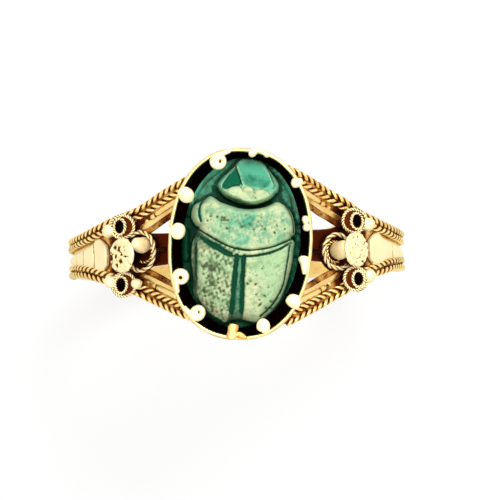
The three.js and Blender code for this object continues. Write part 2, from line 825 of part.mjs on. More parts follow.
// Half the angle that the rosette's collar takes out of a loop round the domed grain.
function collarAngle(radius, wireRadius) {
  const apart = shellRadiusAt(rosetteAngle) * (rosetteAngle - nearLoopAngle);
  const keepOut = collarRadius + wireRadius + 2 * solderGap;
  return Math.acos((radius ** 2 + apart ** 2 - keepOut ** 2) / (2 * radius * apart));
}

// A melted gold grain: a ball pressed a little flat.
function grainGeometry(radius, height) {
  const columns = 8;
  const rows = 5;
  return new THREE.SphereGeometry(radius, columns, rows)
    .rotateX(Math.PI / 2)
    .scale(1, 1, height / (2 * radius));
}

const edgeWireTop = 2 * edgeWireRadius + 2 * solderGap;

// Rosette: a disc covered in rows of grains on a plain collar.
const grainRows = [
  { count: 1, radius: 0 },
  { count: 6, radius: (rosetteRadius - rosetteGrainRadius) / 2 },
  { count: 12, radius: rosetteRadius - rosetteGrainRadius },
];

function rosetteGeometry() {
  const disc = new THREE.LatheGeometry([
    new THREE.Vector2(0, 0),
    new THREE.Vector2(rosetteRadius, 0),
    new THREE.Vector2(rosetteRadius, rosetteDiscThickness),
    new THREE.Vector2(0, rosetteDiscThickness),
  ], 24).rotateX(Math.PI / 2);
  let solid = solidOf(disc);
  for (const { count, radius } of grainRows) {
    for (let index = 0; index < count; index += 1) {
      const angle = (fullTurn * index) / count;
      const grain = new THREE.SphereGeometry(rosetteGrainRadius, 6, 3)
        .rotateX(Math.PI / 2)
        .translate(radius * Math.cos(angle), radius * Math.sin(angle), rosetteDiscThickness);
      solid = solid.add(solidOf(grain));
    }
  }
  return geometryOf(solid);
}

function collarGeometry() {
  const height = rosetteLift - 2 * solderGap - rosetteRadius * Math.sin(rosetteLean) / 2;
  return new THREE.CylinderGeometry(collarRadius, collarRadius, height, 20)
    .rotateX(Math.PI / 2)
    .translate(0, 0, height / 2);
}

// Leaf: a slightly domed plate along the hoop, in section shares of its half width and
// thickness, and in plan a broad heel that draws in to a long point.
const leafSteps = 12;
const leafSectionShares = [[-1, 0], [1, 0], [1, 0.4], [0.5, 0.85], [0, 1], [-0.5, 0.85], [-1, 0.4]];

function leafGeometry(side) {
  const angles = Array.from({ length: leafSteps + 1 }, (_, step) => THREE.MathUtils.lerp(
    leafStartAngle, leafEndAngle, step / leafSteps,
  ));
  const frames = framesAlong(
    angles.map((angle) => shellPoint(side.sign, angle, leafShift, solderGap)), awayFromFinger,
  );
  return sweep(frames, (step) => leafSectionShares.map(([out, up]) => [
    out * leafHalfWidth * leafWidthShareAt(step / leafSteps),
    up * leafThickness,
  ]));
}

// A short wire on the tongue, from the near loops to the foot of the collet.
const stubSteps = 4;

function stubGeometry(side) {
  const reach = baseRingRadius + baseRingWireRadius + 2 * solderGap;
  const start = nearLoopAngle - Math.asin(reach / shellRadiusAt(nearLoopAngle));
  const inside = Math.asin((bezelHalfWidth - colletWall) / shellRadiusAt(start));
  const points = Array.from({ length: stubSteps + 1 }, (_, step) => {
    const angle = THREE.MathUtils.lerp(start, inside, step / stubSteps);
    return shellPoint(side.sign, angle, side.loopShift, solderGap + stubRadius);
  });
  return sweep(framesAlong(points, awayFromFinger), () => roundSection(stubRadius, plainCorners));
}

const leafWidthShares = [[0, 0.88], [0.05, 1], [0.2, 0.64], [0.5, 0.42], [0.8, 0.3], [1, 0.06]];
const leafCurve = new THREE.SplineCurve(
  leafWidthShares.map(([along, width]) => new THREE.Vector2(along, width)),
);
const leafWidthShareAt = (share) => valueAt(leafCurve, share);

for (const side of sides) {
  place(part, `leaf_${side.name}`, leafGeometry(side), gold);

  const domeShape = grainGeometry(domeGrainRadius, domeGrainHeight);
  const domeGrain = place(part, `dome_grain_${side.name}`, domeShape, gold);
  const grainCutter = new THREE.Mesh(
    grainGeometry(domeGrainRadius + solderGap, domeGrainHeight + 2 * solderGap),
  );
  for (const grain of [domeGrain, grainCutter]) {
    seat(grain, side, domeGrainAngle, side.grainShift, solderGap + domeGrainHeight / 2);
  }
  const collar = seat(
    place(part, `rosette_collar_${side.name}`, collarGeometry(), darkGold),
    side, rosetteAngle, side.clusterShift, solderGap,
  );
  cutAway(collar, [grainCutter]);
  const rosette = seat(
    place(part, `rosette_${side.name}`, rosetteGeometry(), gold),
    side, rosetteAngle, side.clusterShift, rosetteLift, rosetteLean,
  );
  cutAway(rosette, [grainCutter]);

  const toRosette = side.sign > 0 ? 0 : Math.PI;
  const roundLoops = [
    { name: "near_loop", radius: nearLoopRadius, wireRadius: nearLoopWireRadius, foot: nearLoopFoot },
    { name: "inner_loop", radius: innerLoopRadius, wireRadius: innerLoopWireRadius, foot: 0 },
  ];
  for (const { name, radius, wireRadius, foot } of roundLoops) {
    const shape = loopGeometry(radius, radius, wireRadius, collarAngle(radius, wireRadius), toRosette);
    const loop = place(part, `${name}_${side.name}`, shape, gold);
    seat(loop, side, nearLoopAngle, side.loopShift, foot + solderGap + wireRadius);
  }
  const baseOpening = collarAngle(baseRingRadius, baseRingWireRadius);
  const baseFrames = ringFrames(baseRingRadius, baseRingRadius, baseRingSteps, baseOpening, toRosette);
  const baseRing = sweep(baseFrames, () => roundSection(baseRingWireRadius, clawCorners));
  seat(
    place(part, `base_ring_${side.name}`, baseRing, gold),
    side, nearLoopAngle, side.loopShift, baseRingFoot + baseRingWireRadius,
  );
  cutAway(place(part, `stub_${side.name}`, stubGeometry(side), gold), [colletCutter]);

  for (const flank of flanks) {
    const label = `${side.name}_${flank.name}`;
    const loopShape = loopGeometry(sideLoopHalfLength, sideLoopHalfWidth, sideLoopWireRadius);
    const loopAlong = side.clusterShift + flank.sign * sideLoopOffset;
    const sideLoop = place(part, `side_loop_${label}`, loopShape, gold);
    seat(sideLoop, side, sideLoopAngle, loopAlong, sideLoopLift, sideLoopLean);

    const grainShape = grainGeometry(cornerGrainRadius, 2 * cornerGrainRadius);
    const grainAlong = side.clusterShift + flank.sign * cornerGrainOffset;
    const cornerGrain = place(part, `corner_grain_${label}`, grainShape, gold);
    seat(cornerGrain, side, cornerGrainAngle, grainAlong, edgeWireTop + cornerGrainRadius);
  }
}

const joinShape = grainGeometry(joinGrainRadius, 2 * joinGrainRadius);
const joinGrain = place(part, "join_grain_left_lower", joinShape, gold);
const plainWireTop = 2 * plainWireRadius + 2 * solderGap;
seat(joinGrain, sides[1], joinGrainAngle, flanks[1].sign * joinGrainOffset, plainWireTop + joinGrainRadius);

export default part;
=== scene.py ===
import math

import bpy
import numpy as np
from mathutils import Matrix, Vector


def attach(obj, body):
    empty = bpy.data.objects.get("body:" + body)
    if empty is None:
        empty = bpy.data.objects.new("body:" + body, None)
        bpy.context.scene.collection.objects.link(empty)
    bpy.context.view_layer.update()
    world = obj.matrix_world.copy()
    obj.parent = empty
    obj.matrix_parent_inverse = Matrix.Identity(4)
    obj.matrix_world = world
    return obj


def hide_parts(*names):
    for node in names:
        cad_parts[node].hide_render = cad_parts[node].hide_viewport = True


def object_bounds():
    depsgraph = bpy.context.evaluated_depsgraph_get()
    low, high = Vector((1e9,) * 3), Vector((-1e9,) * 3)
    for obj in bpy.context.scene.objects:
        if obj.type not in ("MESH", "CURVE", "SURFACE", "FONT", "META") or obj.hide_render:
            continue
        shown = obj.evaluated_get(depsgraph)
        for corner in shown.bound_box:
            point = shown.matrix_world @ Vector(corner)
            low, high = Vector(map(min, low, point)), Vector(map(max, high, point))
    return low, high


# A gold scarab ring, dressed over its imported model. Lengths here are millimetres and
# become metres when a mesh is made. The finger hole runs along Y, the bezel looks up.
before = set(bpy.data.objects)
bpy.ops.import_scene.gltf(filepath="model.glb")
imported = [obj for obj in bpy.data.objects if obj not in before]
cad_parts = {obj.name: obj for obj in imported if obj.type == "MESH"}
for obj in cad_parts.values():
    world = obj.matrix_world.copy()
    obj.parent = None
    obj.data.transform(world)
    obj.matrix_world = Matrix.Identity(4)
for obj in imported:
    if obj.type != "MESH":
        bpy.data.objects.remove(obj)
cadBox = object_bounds()
print("frame loaded:", len(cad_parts), "nodes")

mm = 0.001
degree = math.pi / 180
fullTurn = 2 * math.pi
upright = np.array([0, 0, 1.0])


def tone(red, green, blue):
    # a colour as it shows on a screen, 0 to 255, turned into the linear light that shaders take
    shares = np.array([red, green, blue]) / 255
    linear = np.where(shares <= 0.04045, shares / 12.92, ((shares + 0.055) / 1.055) ** 2.4)
    return (*map(float, linear), 1.0)


def smooth(low, high, value):
    # 0 below low, 1 above high, and an S-curve between them
    share = np.clip((value - low) / (high - low), 0, 1)
    return share * share * (3 - 2 * share)


def mixed(low, high, share):
    return low + (high - low) * share


def curve(a, b, c, d, t):
    # the stretch from b to c of a smooth curve through four points, uniform Catmull-Rom
    leaving, arriving = (c - a) / 2, (d - b) / 2
    cubic = 2 * b - 2 * c + leaving + arriving
    square = -3 * b + 3 * c - 2 * leaving - arriving
    return cubic * t**3 + square * t**2 + leaving * t + b


def throughRun(points, steps):
    # a smooth run through points of any number of values
    points = np.array(points, float)
    ends = np.concatenate([points[:1], points, points[-1:]])
    t = np.linspace(0, 1, steps, endpoint=False)[:, None]
    pieces = [curve(*near, t) for near in zip(ends, ends[1:], ends[2:], ends[3:])]
    return np.concatenate([*pieces, points[-1:]])


def closedRun(points, steps=5):
    # the same smooth run through a closed outline
    points = np.array(points, float)
    t = np.linspace(0, 1, steps, endpoint=False)[:, None]
    around = [np.roll(points, shift, 0) for shift in (1, 0, -1, -2)]
    return np.concatenate([curve(*near, t) for near in zip(*around)])


def throughPoints(points):
    # the same smooth run, read as height against place
    run = throughRun(points, 60)
    return lambda place: np.interp(place, run[:, 0], run[:, 1])


def gridQuads(rows, cols, wrapRows, wrapCols):
    # corners of every patch: here, next round, next round one row on, one row on
    row = np.arange(rows if wrapRows else rows - 1)[:, None]
    col = np.arange(cols if wrapCols else cols - 1)[None, :]
    here, above = row * cols, (row + 1) % rows * cols
    beside = (col + 1) % cols
    corners = np.broadcast_arrays(here + col, here + beside, above + beside, above + col)
    return np.stack(corners, -1).reshape(-1, 4)


def shell(grid, recess, wrapRows=False):
    # a skin over a grid of points, with its painted shade: rows run along the piece and columns
    # round it, and each open end is closed by a fan on the mean of its last row
    rows, cols = grid.shape[:2]
    points = grid.reshape(-1, 3)
    paintedShade = np.broadcast_to(np.asarray(recess, float), (rows, cols)).ravel()
    tris = np.empty((0, 3), int)
    if not wrapRows:
        first, last = len(points), (rows - 1) * cols
        here = np.arange(cols)
        beside = (here + 1) % cols
        tris = np.concatenate([
            np.stack([np.full(cols, first), beside, here], 1),
            np.stack([np.full(cols, first + 1), last + here, last + beside], 1),
        ])
        points = np.concatenate([points, grid[[0, -1]].mean(1)])
        paintedShade = np.concatenate([paintedShade, [paintedShade[:cols].mean(), paintedShade[-cols:].mean()]])
    quads = gridQuads(rows, cols, wrapRows, True)
    return {"points": points, "quads": quads, "tris": tris, "marks": {"recess": paintedShade}}


def makePiece(name, shells, material, nodes):
    # one mesh object out of several shells, with their marks as point attributes
    starts = np.cumsum([0] + [len(skin["points"]) for skin in shells])
    points = np.concatenate([skin["points"] for skin in shells])
    quads = np.concatenate([skin["quads"] + start for skin, start in zip(shells, starts)])
    tris = np.concatenate([skin["tris"] + start for skin, start in zip(shells, starts)])
    mesh = bpy.data.meshes.new(name)
    mesh.vertices.add(len(points))
    mesh.vertices.foreach_set("co", (points * mm).astype(np.float32).ravel())
    corners = np.concatenate([quads.ravel(), tris.ravel()]).astype(np.int32)
    mesh.loops.add(len(corners))
    mesh.loops.foreach_set("vertex_index", corners)
    counts = np.concatenate([np.full(len(quads), 4), np.full(len(tris), 3)])
    mesh.polygons.add(len(counts))
    mesh.polygons.foreach_set("loop_start", (np.cumsum(counts) - counts).astype(np.int32))
    mesh.polygons.foreach_set("use_smooth", np.ones(len(counts), bool))
    for mark in sorted(shells[0]["marks"]):
        values = np.concatenate([skin["marks"][mark] for skin in shells])
        mesh.attributes.new(mark, "FLOAT", "POINT").data.foreach_set("value", values.astype(np.float32))
    mesh.update(calc_edges=True)
    mesh.validate()
    mesh.materials.append(material)
    piece = bpy.data.objects.new(name, mesh)
    bpy.context.scene.collection.objects.link(piece)
    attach(piece, "root")
    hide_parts(*nodes)


def placed(shells, seat):
    # shells moved to a seat: an origin and three directions
    origin, directions = seat
    return [{**skin, "points": origin + skin["points"] @ directions} for skin in shells]


def shifted(skin, shift):
    # one shell moved by a shift
    return {**skin, "points": skin["points"] + shift}


def seedOf(*words):
    # the same seed each run for the same words
    return sum((k + 1) * ord(letter) for k, letter in enumerate("".join(words)))


def handWork(points, amount, reach, seed):
    # slow waves in random directions, so that nothing is as true as a drawing
    source = np.random.default_rng(seed)
    moved = points.copy()
    for _ in range(6):
        direction = source.normal(size=3)
        direction /= np.linalg.norm(direction)
        push = source.normal(size=3) * amount / 3
        pace = fullTurn / reach * source.uniform(0.6, 1.6)
        moved += np.sin(points @ direction * pace + source.uniform(0, fullTurn))[..., None] * push
    return moved


def waves(x, y, reach, seed, count=10):
    # slow uneven ground, about -1 to 1: sine waves in random directions
    source = np.random.default_rng(seed)
    total = 0
    for _ in range(count):
        angle, phase = source.uniform(0, fullTurn, 2)
        pace = fullTurn / (reach * source.uniform(0.6, 1.7))
        total = total + np.sin((x * math.cos(angle) + y * math.sin(angle)) * pace + phase)
    return total / math.sqrt(count) / 1.4


def framesAlong(points, up, closed=False):
    # travel by differences, up squared to it, and across to the side of both
    travel = np.roll(points, -1, 0) - np.roll(points, 1, 0) if closed else np.gradient(points, axis=0)
    travel = travel / np.linalg.norm(travel, axis=1, keepdims=True)
    up = np.broadcast_to(up, points.shape)
    up = up - (up * travel).sum(1, keepdims=True) * travel
    up = up / np.linalg.norm(up, axis=1, keepdims=True)
    return np.cross(up, travel), up


def tube(points, radius, up, corners, flat=1.0, closed=False, recess=None):
    # a round or flattened wire: each row is a ring in the plane square to the travel
    across, upward = framesAlong(points, up, closed)
    turn = np.arange(corners) * fullTurn / corners
    radius = np.broadcast_to(radius, len(points))[:, None, None]
    flat = np.broadcast_to(flat, len(points))[:, None, None]
    grid = points[:, None] + radius * (
        across[:, None] * np.cos(turn)[None, :, None] + flat * upward[:, None] * np.sin(turn)[None, :, None])
    if recess is None:
        # painted shade lies on the underside
        recess = smooth(0.1, -0.9, np.sin(turn))[None, :]
    return shell(grid, recess, wrapRows=closed)


def resampled(points, step, closed=False):
    # the same run with its points one even step apart
    run = np.concatenate([points, points[:1]]) if closed else points
    length = np.concatenate([[0], np.cumsum(np.linalg.norm(np.diff(run, axis=0), axis=1))])
    count = max(int(round(length[-1] / step)), 4)
    at = np.linspace(0, length[-1], count + 1)
    if closed:
        at = at[:-1]
    return np.stack([np.interp(at, length, run[:, k]) for k in range(3)], 1), at, length[-1]


def twistedWire(points, up, twist, closed=False, hand=1):
    # two strands wound round a run: each strand's centre turns round it at a steady pitch
    length = resampled(points, 1, closed)[2]
    turns = length / (twist["radius"] * 2 * twist["lay"])
    if closed:
        turns = max(round(turns), 1)
    run, at, length = resampled(points, length / (turns * twist["stepsPerTurn"]), closed)
    across, upward = framesAlong(run, up(run) if callable(up) else up, closed)
    strand = twist["radius"] * twist["strandShare"]
    arm = twist["radius"] - strand
    angle = np.arange(twist["corners"]) * fullTurn / twist["corners"]
    # painted shade on each strand's flanks and inner side, with its crest left light
    recess = smooth(1.0, twist["crest"], np.sin(angle))[None, :]
    shells = []
    for k in range(2):
        turn = hand * fullTurn * turns * at / length + fullTurn * k / 2
        out = across * np.cos(turn)[:, None] + upward * np.sin(turn)[:, None]
        shells.append(tube(run + arm * out, strand, out, twist["corners"], closed=closed, recess=recess))
    return shells


def ball(radius, height, rows, cols, dent=0.0, seed=0, recess=None):
    # a melted grain: a sphere pressed flat, rings from the foot to the crown, with slow dents
    lat = np.linspace(-math.pi / 2, math.pi / 2, rows + 2)[1:-1]
    turn = np.arange(cols) * fullTurn / cols
    out, level = radius * np.cos(lat)[:, None], height / 2 * np.sin(lat)[:, None]
    grid = np.stack(np.broadcast_arrays(out * np.cos(turn), out * np.sin(turn), level), -1)
    if dent:
        grid = handWork(grid, dent, radius * 2.2, seed)
    if recess is None:
        # painted shade on the underside
        recess = smooth(0.0, -0.8, np.sin(lat))[:, None]
    return shell(grid, recess)


# shapes of the shoulders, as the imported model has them
hoop = {
    "bore": 9.0, "thickness": 1.0, "shoulderThickness": 0.72, "backHalfWidth": 1.0, "sideHalfWidth": 1.35,
    "shoulderHalfWidth": 2.62, "armSpread": 4.8, "armRise": 1.75, "armStart": 14, "shoulderStart": 31.5,
    "shoulder": 43, "plateEnd": 23.4, "plateTip": 0.92, "plateFull": 48, "leafStart": 52, "leafEnd": 89,
    "wireEnd": 100, "nearLoop": 36.2, "baseRing": 1.1, "gap": 0.03, "armFade": (38, 50),
}
leafMiddle = (hoop["leafStart"] + hoop["leafEnd"]) / 2
halfWidthAt = throughPoints([
    (hoop["armStart"], hoop["armSpread"]),
    ((hoop["armStart"] + hoop["shoulder"]) / 2, (hoop["armSpread"] + hoop["shoulderHalfWidth"]) / 2),
    (hoop["shoulder"], hoop["shoulderHalfWidth"]),
    (hoop["leafStart"], (hoop["shoulderHalfWidth"] + hoop["sideHalfWidth"]) / 2),
    (leafMiddle, hoop["sideHalfWidth"]),
    (hoop["wireEnd"], (hoop["sideHalfWidth"] + hoop["backHalfWidth"]) / 2),
    (180, hoop["backHalfWidth"]),
])
shellRadiusAt = throughPoints([
    (hoop["armStart"], hoop["bore"] + hoop["armRise"]),
    (hoop["shoulderStart"], hoop["bore"] + hoop["shoulderThickness"]),
    (hoop["shoulder"], hoop["bore"] + hoop["shoulderThickness"]),
    (leafMiddle, hoop["bore"] + hoop["thickness"]),
    (180, hoop["bore"] + hoop["thickness"]),
])
plateFullHalfWidth = float(halfWidthAt(hoop["plateFull"]))
tongueAt = throughPoints([
    (hoop["plateEnd"], hoop["plateTip"]),
    (hoop["nearLoop"], hoop["baseRing"]),
    ((hoop["nearLoop"] + hoop["plateFull"]) / 2, (hoop["baseRing"] + plateFullHalfWidth) / 2),
    (hoop["plateFull"], plateFullHalfWidth),
])


def shellPoint(sign, angle, along, lift=0.0):
    # a place over the shoulder: angle from the bezel, place along the finger, height over the face
    angle = np.asarray(angle, float)
    radius = shellRadiusAt(angle) + lift
    turn = angle * degree
    return np.stack(np.broadcast_arrays(sign * radius * np.sin(turn), along, radius * np.cos(turn)), -1)


def awayFromFinger(points):
    # square to the finger's axis at each place
    out = points * [1, 0, 1]
    return out / np.linalg.norm(out, axis=-1, keepdims=True)


def seatAt(sign, angle, along, lift, lean=0.0):
    # X round the hoop, Y along the finger, Z away from it, turned by a lean
    turn = sign * (angle + lean) * degree
    directions = np.array([
        [math.cos(turn), 0, -math.sin(turn)], [0, 1, 0], [math.sin(turn), 0, math.cos(turn)]])
    return shellPoint(sign, angle, along, lift), directions


# where the maker's eye put each side: places along the finger, and how its arms stand out
sides = {
    "right": {
        "sign": 1, "cluster": -0.27, "loop": -0.38, "grain": -0.27, "toRosette": 0.0, "bulge": 0.15,
        "shift": 0.0},
    "left": {
        "sign": -1, "cluster": -0.3, "loop": -0.07, "grain": 0.1, "toRosette": math.pi, "bulge": -0.25,
        "shift": -0.1},
}
flanks = {"upper": 1, "lower": -1}


def node(tree, kind, **values):
    made = tree.nodes.new(kind)
    for name, value in values.items():
        setattr(made, name, value)
    return made


def wire(tree, source, target):
    tree.links.new(source, target)


def feed(tree, target, value):
    # a socket or a plain value into a socket
    if isinstance(value, bpy.types.NodeSocket):
        wire(tree, value, target)
    else:
        target.default_value = value


def noise(tree, place, scale, detail, roughness=0.55):
    made = node(tree, "ShaderNodeTexNoise")
    feed(tree, made.inputs["Vector"], place)
    feed(tree, made.inputs["Scale"], scale)
    made.inputs["Detail"].default_value = detail
    made.inputs["Roughness"].default_value = roughness
    return made.outputs["Fac"]


def ramp(tree, value, low, high, outLow=0.0, outHigh=1.0):
    made = node(tree, "ShaderNodeMapRange", interpolation_type="SMOOTHSTEP")
    given = {"Value": value, "From Min": low, "From Max": high, "To Min": outLow, "To Max": outHigh}
    for socket, amount in given.items():
        feed(tree, made.inputs[socket], amount)
    return made.outputs["Result"]


def sums(tree, operation, *amounts):
    made = node(tree, "ShaderNodeMath", operation=operation)
    for socket, amount in zip(made.inputs, amounts):
        feed(tree, socket, amount)
    return made.outputs[0]


def blendColours(tree, share, a, b):
    made = node(tree, "ShaderNodeMix", data_type="RGBA")
    feed(tree, made.inputs["Factor"], share)
    feed(tree, made.inputs["A"], a)
    feed(tree, made.inputs["B"], b)
    return made.outputs["Result"]


def seenRays(tree):
    # 1 where a thing is seen, also mirrored or through glass, and 0 where it only gives light
    path = node(tree, "ShaderNodeLightPath")
    seen = sums(tree, "MAXIMUM", path.outputs["Is Camera Ray"], path.outputs["Is Transmission Ray"])
    return sums(tree, "MAXIMUM", seen, path.outputs["Is Glossy Ray"])


def emptyTree(owner):
    # the nodes of a material or world, cleared
    owner.use_nodes = True
    owner.node_tree.nodes.clear()
    return owner.node_tree


def newMaterial(name, bumpStrength):
    # a principled surface with a bump of 0.03 mm on its normal
    material = bpy.data.materials.new(name)
    tree = emptyTree(material)
    surface = node(tree, "ShaderNodeBsdfPrincipled")
    wire(tree, surface.outputs["BSDF"], node(tree, "ShaderNodeOutputMaterial").inputs["Surface"])
    bump = node(tree, "ShaderNodeBump")
    bump.inputs["Strength"].default_value = bumpStrength
    bump.inputs["Distance"].default_value = 0.03 * mm
    wire(tree, bump.outputs["Normal"], surface.inputs["Normal"])
    return material, tree, surface.inputs, bump.inputs["Height"]


def newGroup(name, inputs, outputs):
    # an empty node group with named sockets
    tree = bpy.data.node_groups.new(name, "ShaderNodeTree")
    for label, kind, value in inputs:
        socket = tree.interface.new_socket(label, in_out="INPUT", socket_type=kind)
        socket.default_value = value
    for label, kind in outputs:
        tree.interface.new_socket(label, in_out="OUTPUT", socket_type=kind)
    return tree, node(tree, "NodeGroupInput").outputs, node(tree, "NodeGroupOutput").inputs


def makeGoldGroup(look):
    # old worked gold: warm drift in the colour, painted shade in the recesses, warm and then dark, with
    # random specks of grime, fine dents and scratches
    tree, given, out = newGroup("workedGold", [
        ("Recess", "NodeSocketFloat", 0.0),
        ("Bright", "NodeSocketColor", (1, 0.8, 0.4, 1)),
        ("Warm", "NodeSocketColor", (0.8, 0.5, 0.15, 1)),
        ("Painted Shade And Grime", "NodeSocketColor", (0.05, 0.01, 0.0, 1)),
        ("Hole Shade", "NodeSocketColor", look["holeShade"]),
        ("Painted Shade Amount", "NodeSocketFloat", 1.0),
        ("Roughness", "NodeSocketFloat", 0.25),
    ], [("Color", "NodeSocketColor"), ("Roughness", "NodeSocketFloat"), ("Height", "NodeSocketFloat")])
    place = node(tree, "ShaderNodeTexCoord").outputs["Object"]
    drift = ramp(tree, noise(tree, place, look["driftScale"], 2.0), 0.35, 0.7)
    speck = noise(tree, place, look["speckScale"], 3.0, 0.6)
    fine = noise(tree, place, look["fineScale"], 2.0, 0.5)
    # the recess mark is painted shade; the specks added to it are grime
    shadeAndGrime = sums(tree, "MULTIPLY", given["Recess"], given["Painted Shade Amount"])
    shadeAndGrime = sums(tree, "ADD", shadeAndGrime, ramp(tree, speck, 0.45, 0.8, 0.0, 0.35))
    edge = ramp(tree, shadeAndGrime, 0.35, 0.95)
    # the colour warms into the recesses as painted shade, and drifts at random
    warmth = ramp(tree, sums(tree, "MULTIPLY_ADD", drift, 0.25, given["Recess"]), 0.0, 1.0)
    colour = blendColours(tree, warmth, given["Bright"], given["Warm"])
    colour = blendColours(tree, edge, colour, given["Painted Shade And Grime"])
    # marks over one are holes, painted near black as their shade
    hole = ramp(tree, given["Recess"], 1.1, 1.3)
    wire(tree, blendColours(tree, hole, colour, given["Hole Shade"]), out["Color"])
    rough = sums(tree, "ADD", given["Roughness"], ramp(tree, speck, 0.3, 0.8, -0.04, 0.12))
    wire(tree, sums(tree, "ADD", rough, ramp(tree, edge, 0.0, 1.0, 0.0, 0.3)), out["Roughness"])
    wire(tree, sums(tree, "ADD", speck, sums(tree, "MULTIPLY", fine, 0.35)), out["Height"])
    return tree


goldGroup = makeGoldGroup({
    "holeShade": tone(16, 5, 3), "driftScale": 900.0, "speckScale": 5200.0, "fineScale": 16000.0})


def goldMaterial(name, look):
    # metal whose colour, roughness and fine relief come from the worked gold group
    material, tree, surface, relief = newMaterial(name, look["bump"])
    worked = node(tree, "ShaderNodeGroup", node_tree=goldGroup)
    recess = node(tree, "ShaderNodeAttribute", attribute_name="recess").outputs["Fac"]
    wire(tree, recess, worked.inputs["Recess"])
    for label in ("Bright", "Warm", "Painted Shade And Grime", "Painted Shade Amount", "Roughness"):
        worked.inputs[label].default_value = look[label]
    surface["Metallic"].default_value = look["metallic"]
    if look["metallic"] < 1:
        # less metallic satin on top, plain metal where the painted shade lies
        metallic = sums(tree, "MULTIPLY_ADD", recess, 1 - look["metallic"], look["metallic"])
        wire(tree, sums(tree, "MINIMUM", metallic, 1.0), surface["Metallic"])
    wire(tree, worked.outputs["Color"], surface["Base Color"])
    wire(tree, worked.outputs["Roughness"], surface["Roughness"])
    wire(tree, worked.outputs["Height"], relief)
    return material


# in each gold below, the darkest colour is painted shade, with a few specks of grime
polished = goldMaterial("polishedGold", {
    "Bright": tone(252, 224, 150), "Warm": tone(224, 152, 58), "Painted Shade And Grime": tone(84, 28, 6),
    "Painted Shade Amount": 1.0, "Roughness": 0.3, "metallic": 1.0, "bump": 0.4})
braided = goldMaterial("braidedGold", {
    "Bright": tone(255, 236, 158), "Warm": tone(234, 156, 62), "Painted Shade And Grime": tone(104, 38, 6),
    "Painted Shade Amount": 1.0, "Roughness": 0.28, "metallic": 1.0, "bump": 0.35})
# the beaded gold is paler: partly its own colour, partly a painted highlight
beaded = goldMaterial("beadedGold", {
    "Bright": tone(255, 240, 190), "Warm": tone(240, 208, 130), "Painted Shade And Grime": tone(104, 46, 12),
    "Painted Shade Amount": 0.9, "Roughness": 0.5, "metallic": 0.55, "bump": 0.35})
shadowed = goldMaterial("shadowedGold", {
    "Bright": tone(236, 186, 108), "Warm": tone(170, 92, 34), "Painted Shade And Grime": tone(26, 3, 1),
    "Painted Shade Amount": 1.0, "Roughness": 0.45, "metallic": 1.0, "bump": 0.5})
print("gold materials made")


def makeGlazeMaterial(look):
    # thin worn glaze on a pale carved body: cream where it is worn, turquoise where it is
    # thick, dark green as painted shade in hollows and cuts and as painted shadow on the plinth's
    # left, and dull olive where it is stained or pitted
    material, tree, surface, relief = newMaterial("wornGlaze", look["bump"])
    place = node(tree, "ShaderNodeTexCoord").outputs["Object"]
    broad = noise(tree, place, look["broadScale"], 3.0)
    middle = noise(tree, place, look["middleScale"], 4.0, 0.62)
    fine = noise(tree, place, look["fineScale"], 3.0, 0.6)
    colour = blendColours(tree, ramp(tree, broad, 0.38, 0.66), look["cream"], look["celadon"])
    colour = blendColours(tree, ramp(tree, middle, 0.44, 0.68, 0.0, 0.8), colour, look["sage"])
    colour = blendColours(tree, ramp(tree, fine, 0.5, 0.72, 0.0, 0.5), colour, look["sage"])
    # each mark, broken up by noise, lays its own colour on
    marks = {}
    for name, operation, uneven, blots, reach in (
            ("turquoise", "ADD", middle, (0.3, 0.7, -0.16, 0.16), (0.15, 0.85)),
            ("green", "ADD", fine, (0.3, 0.7, -0.1, 0.1), (0.1, 0.9)),
            ("stain", "ADD", fine, (0.35, 0.7, -0.12, 0.14), (0.1, 0.9, 0.0, 0.95)),
            ("recess", "ADD", fine, (0.3, 0.7, -0.08, 0.08), (0.16, 0.72)),
            ("worn", "MULTIPLY", middle, (0.3, 0.6, 0.5, 1.0), (0.1, 0.8, 0.0, 0.75)),
            ("pit", "ADD", fine, (0.4, 0.7, -0.15, 0.15), (0.2, 0.95, 0.0, 0.9))):
        marks[name] = node(tree, "ShaderNodeAttribute", attribute_name=name).outputs["Fac"]
        share = sums(tree, operation, marks[name], ramp(tree, uneven, *blots))
        colour = blendColours(tree, ramp(tree, share, *reach), colour, look[name])
    speck = ramp(tree, noise(tree, place, look["speckScale"], 2.0), 0.66, 0.76, 0.0, 0.5)
    wire(tree, blendColours(tree, speck, colour, look["speck"]), surface["Base Color"])
    rough = ramp(tree, middle, 0.35, 0.7, look["gloss"], look["gloss"] + 0.2)
    wire(tree, sums(tree, "ADD", rough, marks["pit"]), surface["Roughness"])
    wire(tree, sums(tree, "ADD", middle, sums(tree, "MULTIPLY", fine, 0.5)), relief)
    surface["Coat Weight"].default_value = look["coat"]
    surface["Coat Roughness"].default_value = look["coatGloss"]
    surface["Specular IOR Level"].default_value = look["specular"]
    return material


wornGlaze = makeGlazeMaterial({
    "cream": tone(214, 216, 168), "celadon": tone(176, 206, 156), "sage": tone(138, 172, 122),
    "turquoise": tone(84, 172, 138), "green": tone(10, 92, 64), "stain": tone(84, 100, 66),
    # the recess colour is painted shade and painted shadow
    "recess": tone(6, 66, 42), "worn": tone(196, 226, 184), "pit": tone(70, 80, 52),
    "speck": tone(104, 112, 74), "broadScale": 420.0, "middleScale": 1900.0, "fineScale": 5200.0,
    "speckScale": 4600.0, "gloss": 0.42, "coat": 0.02, "coatGloss": 0.12, "specular": 0.06, "bump": 0.3,
})
print("glaze made")


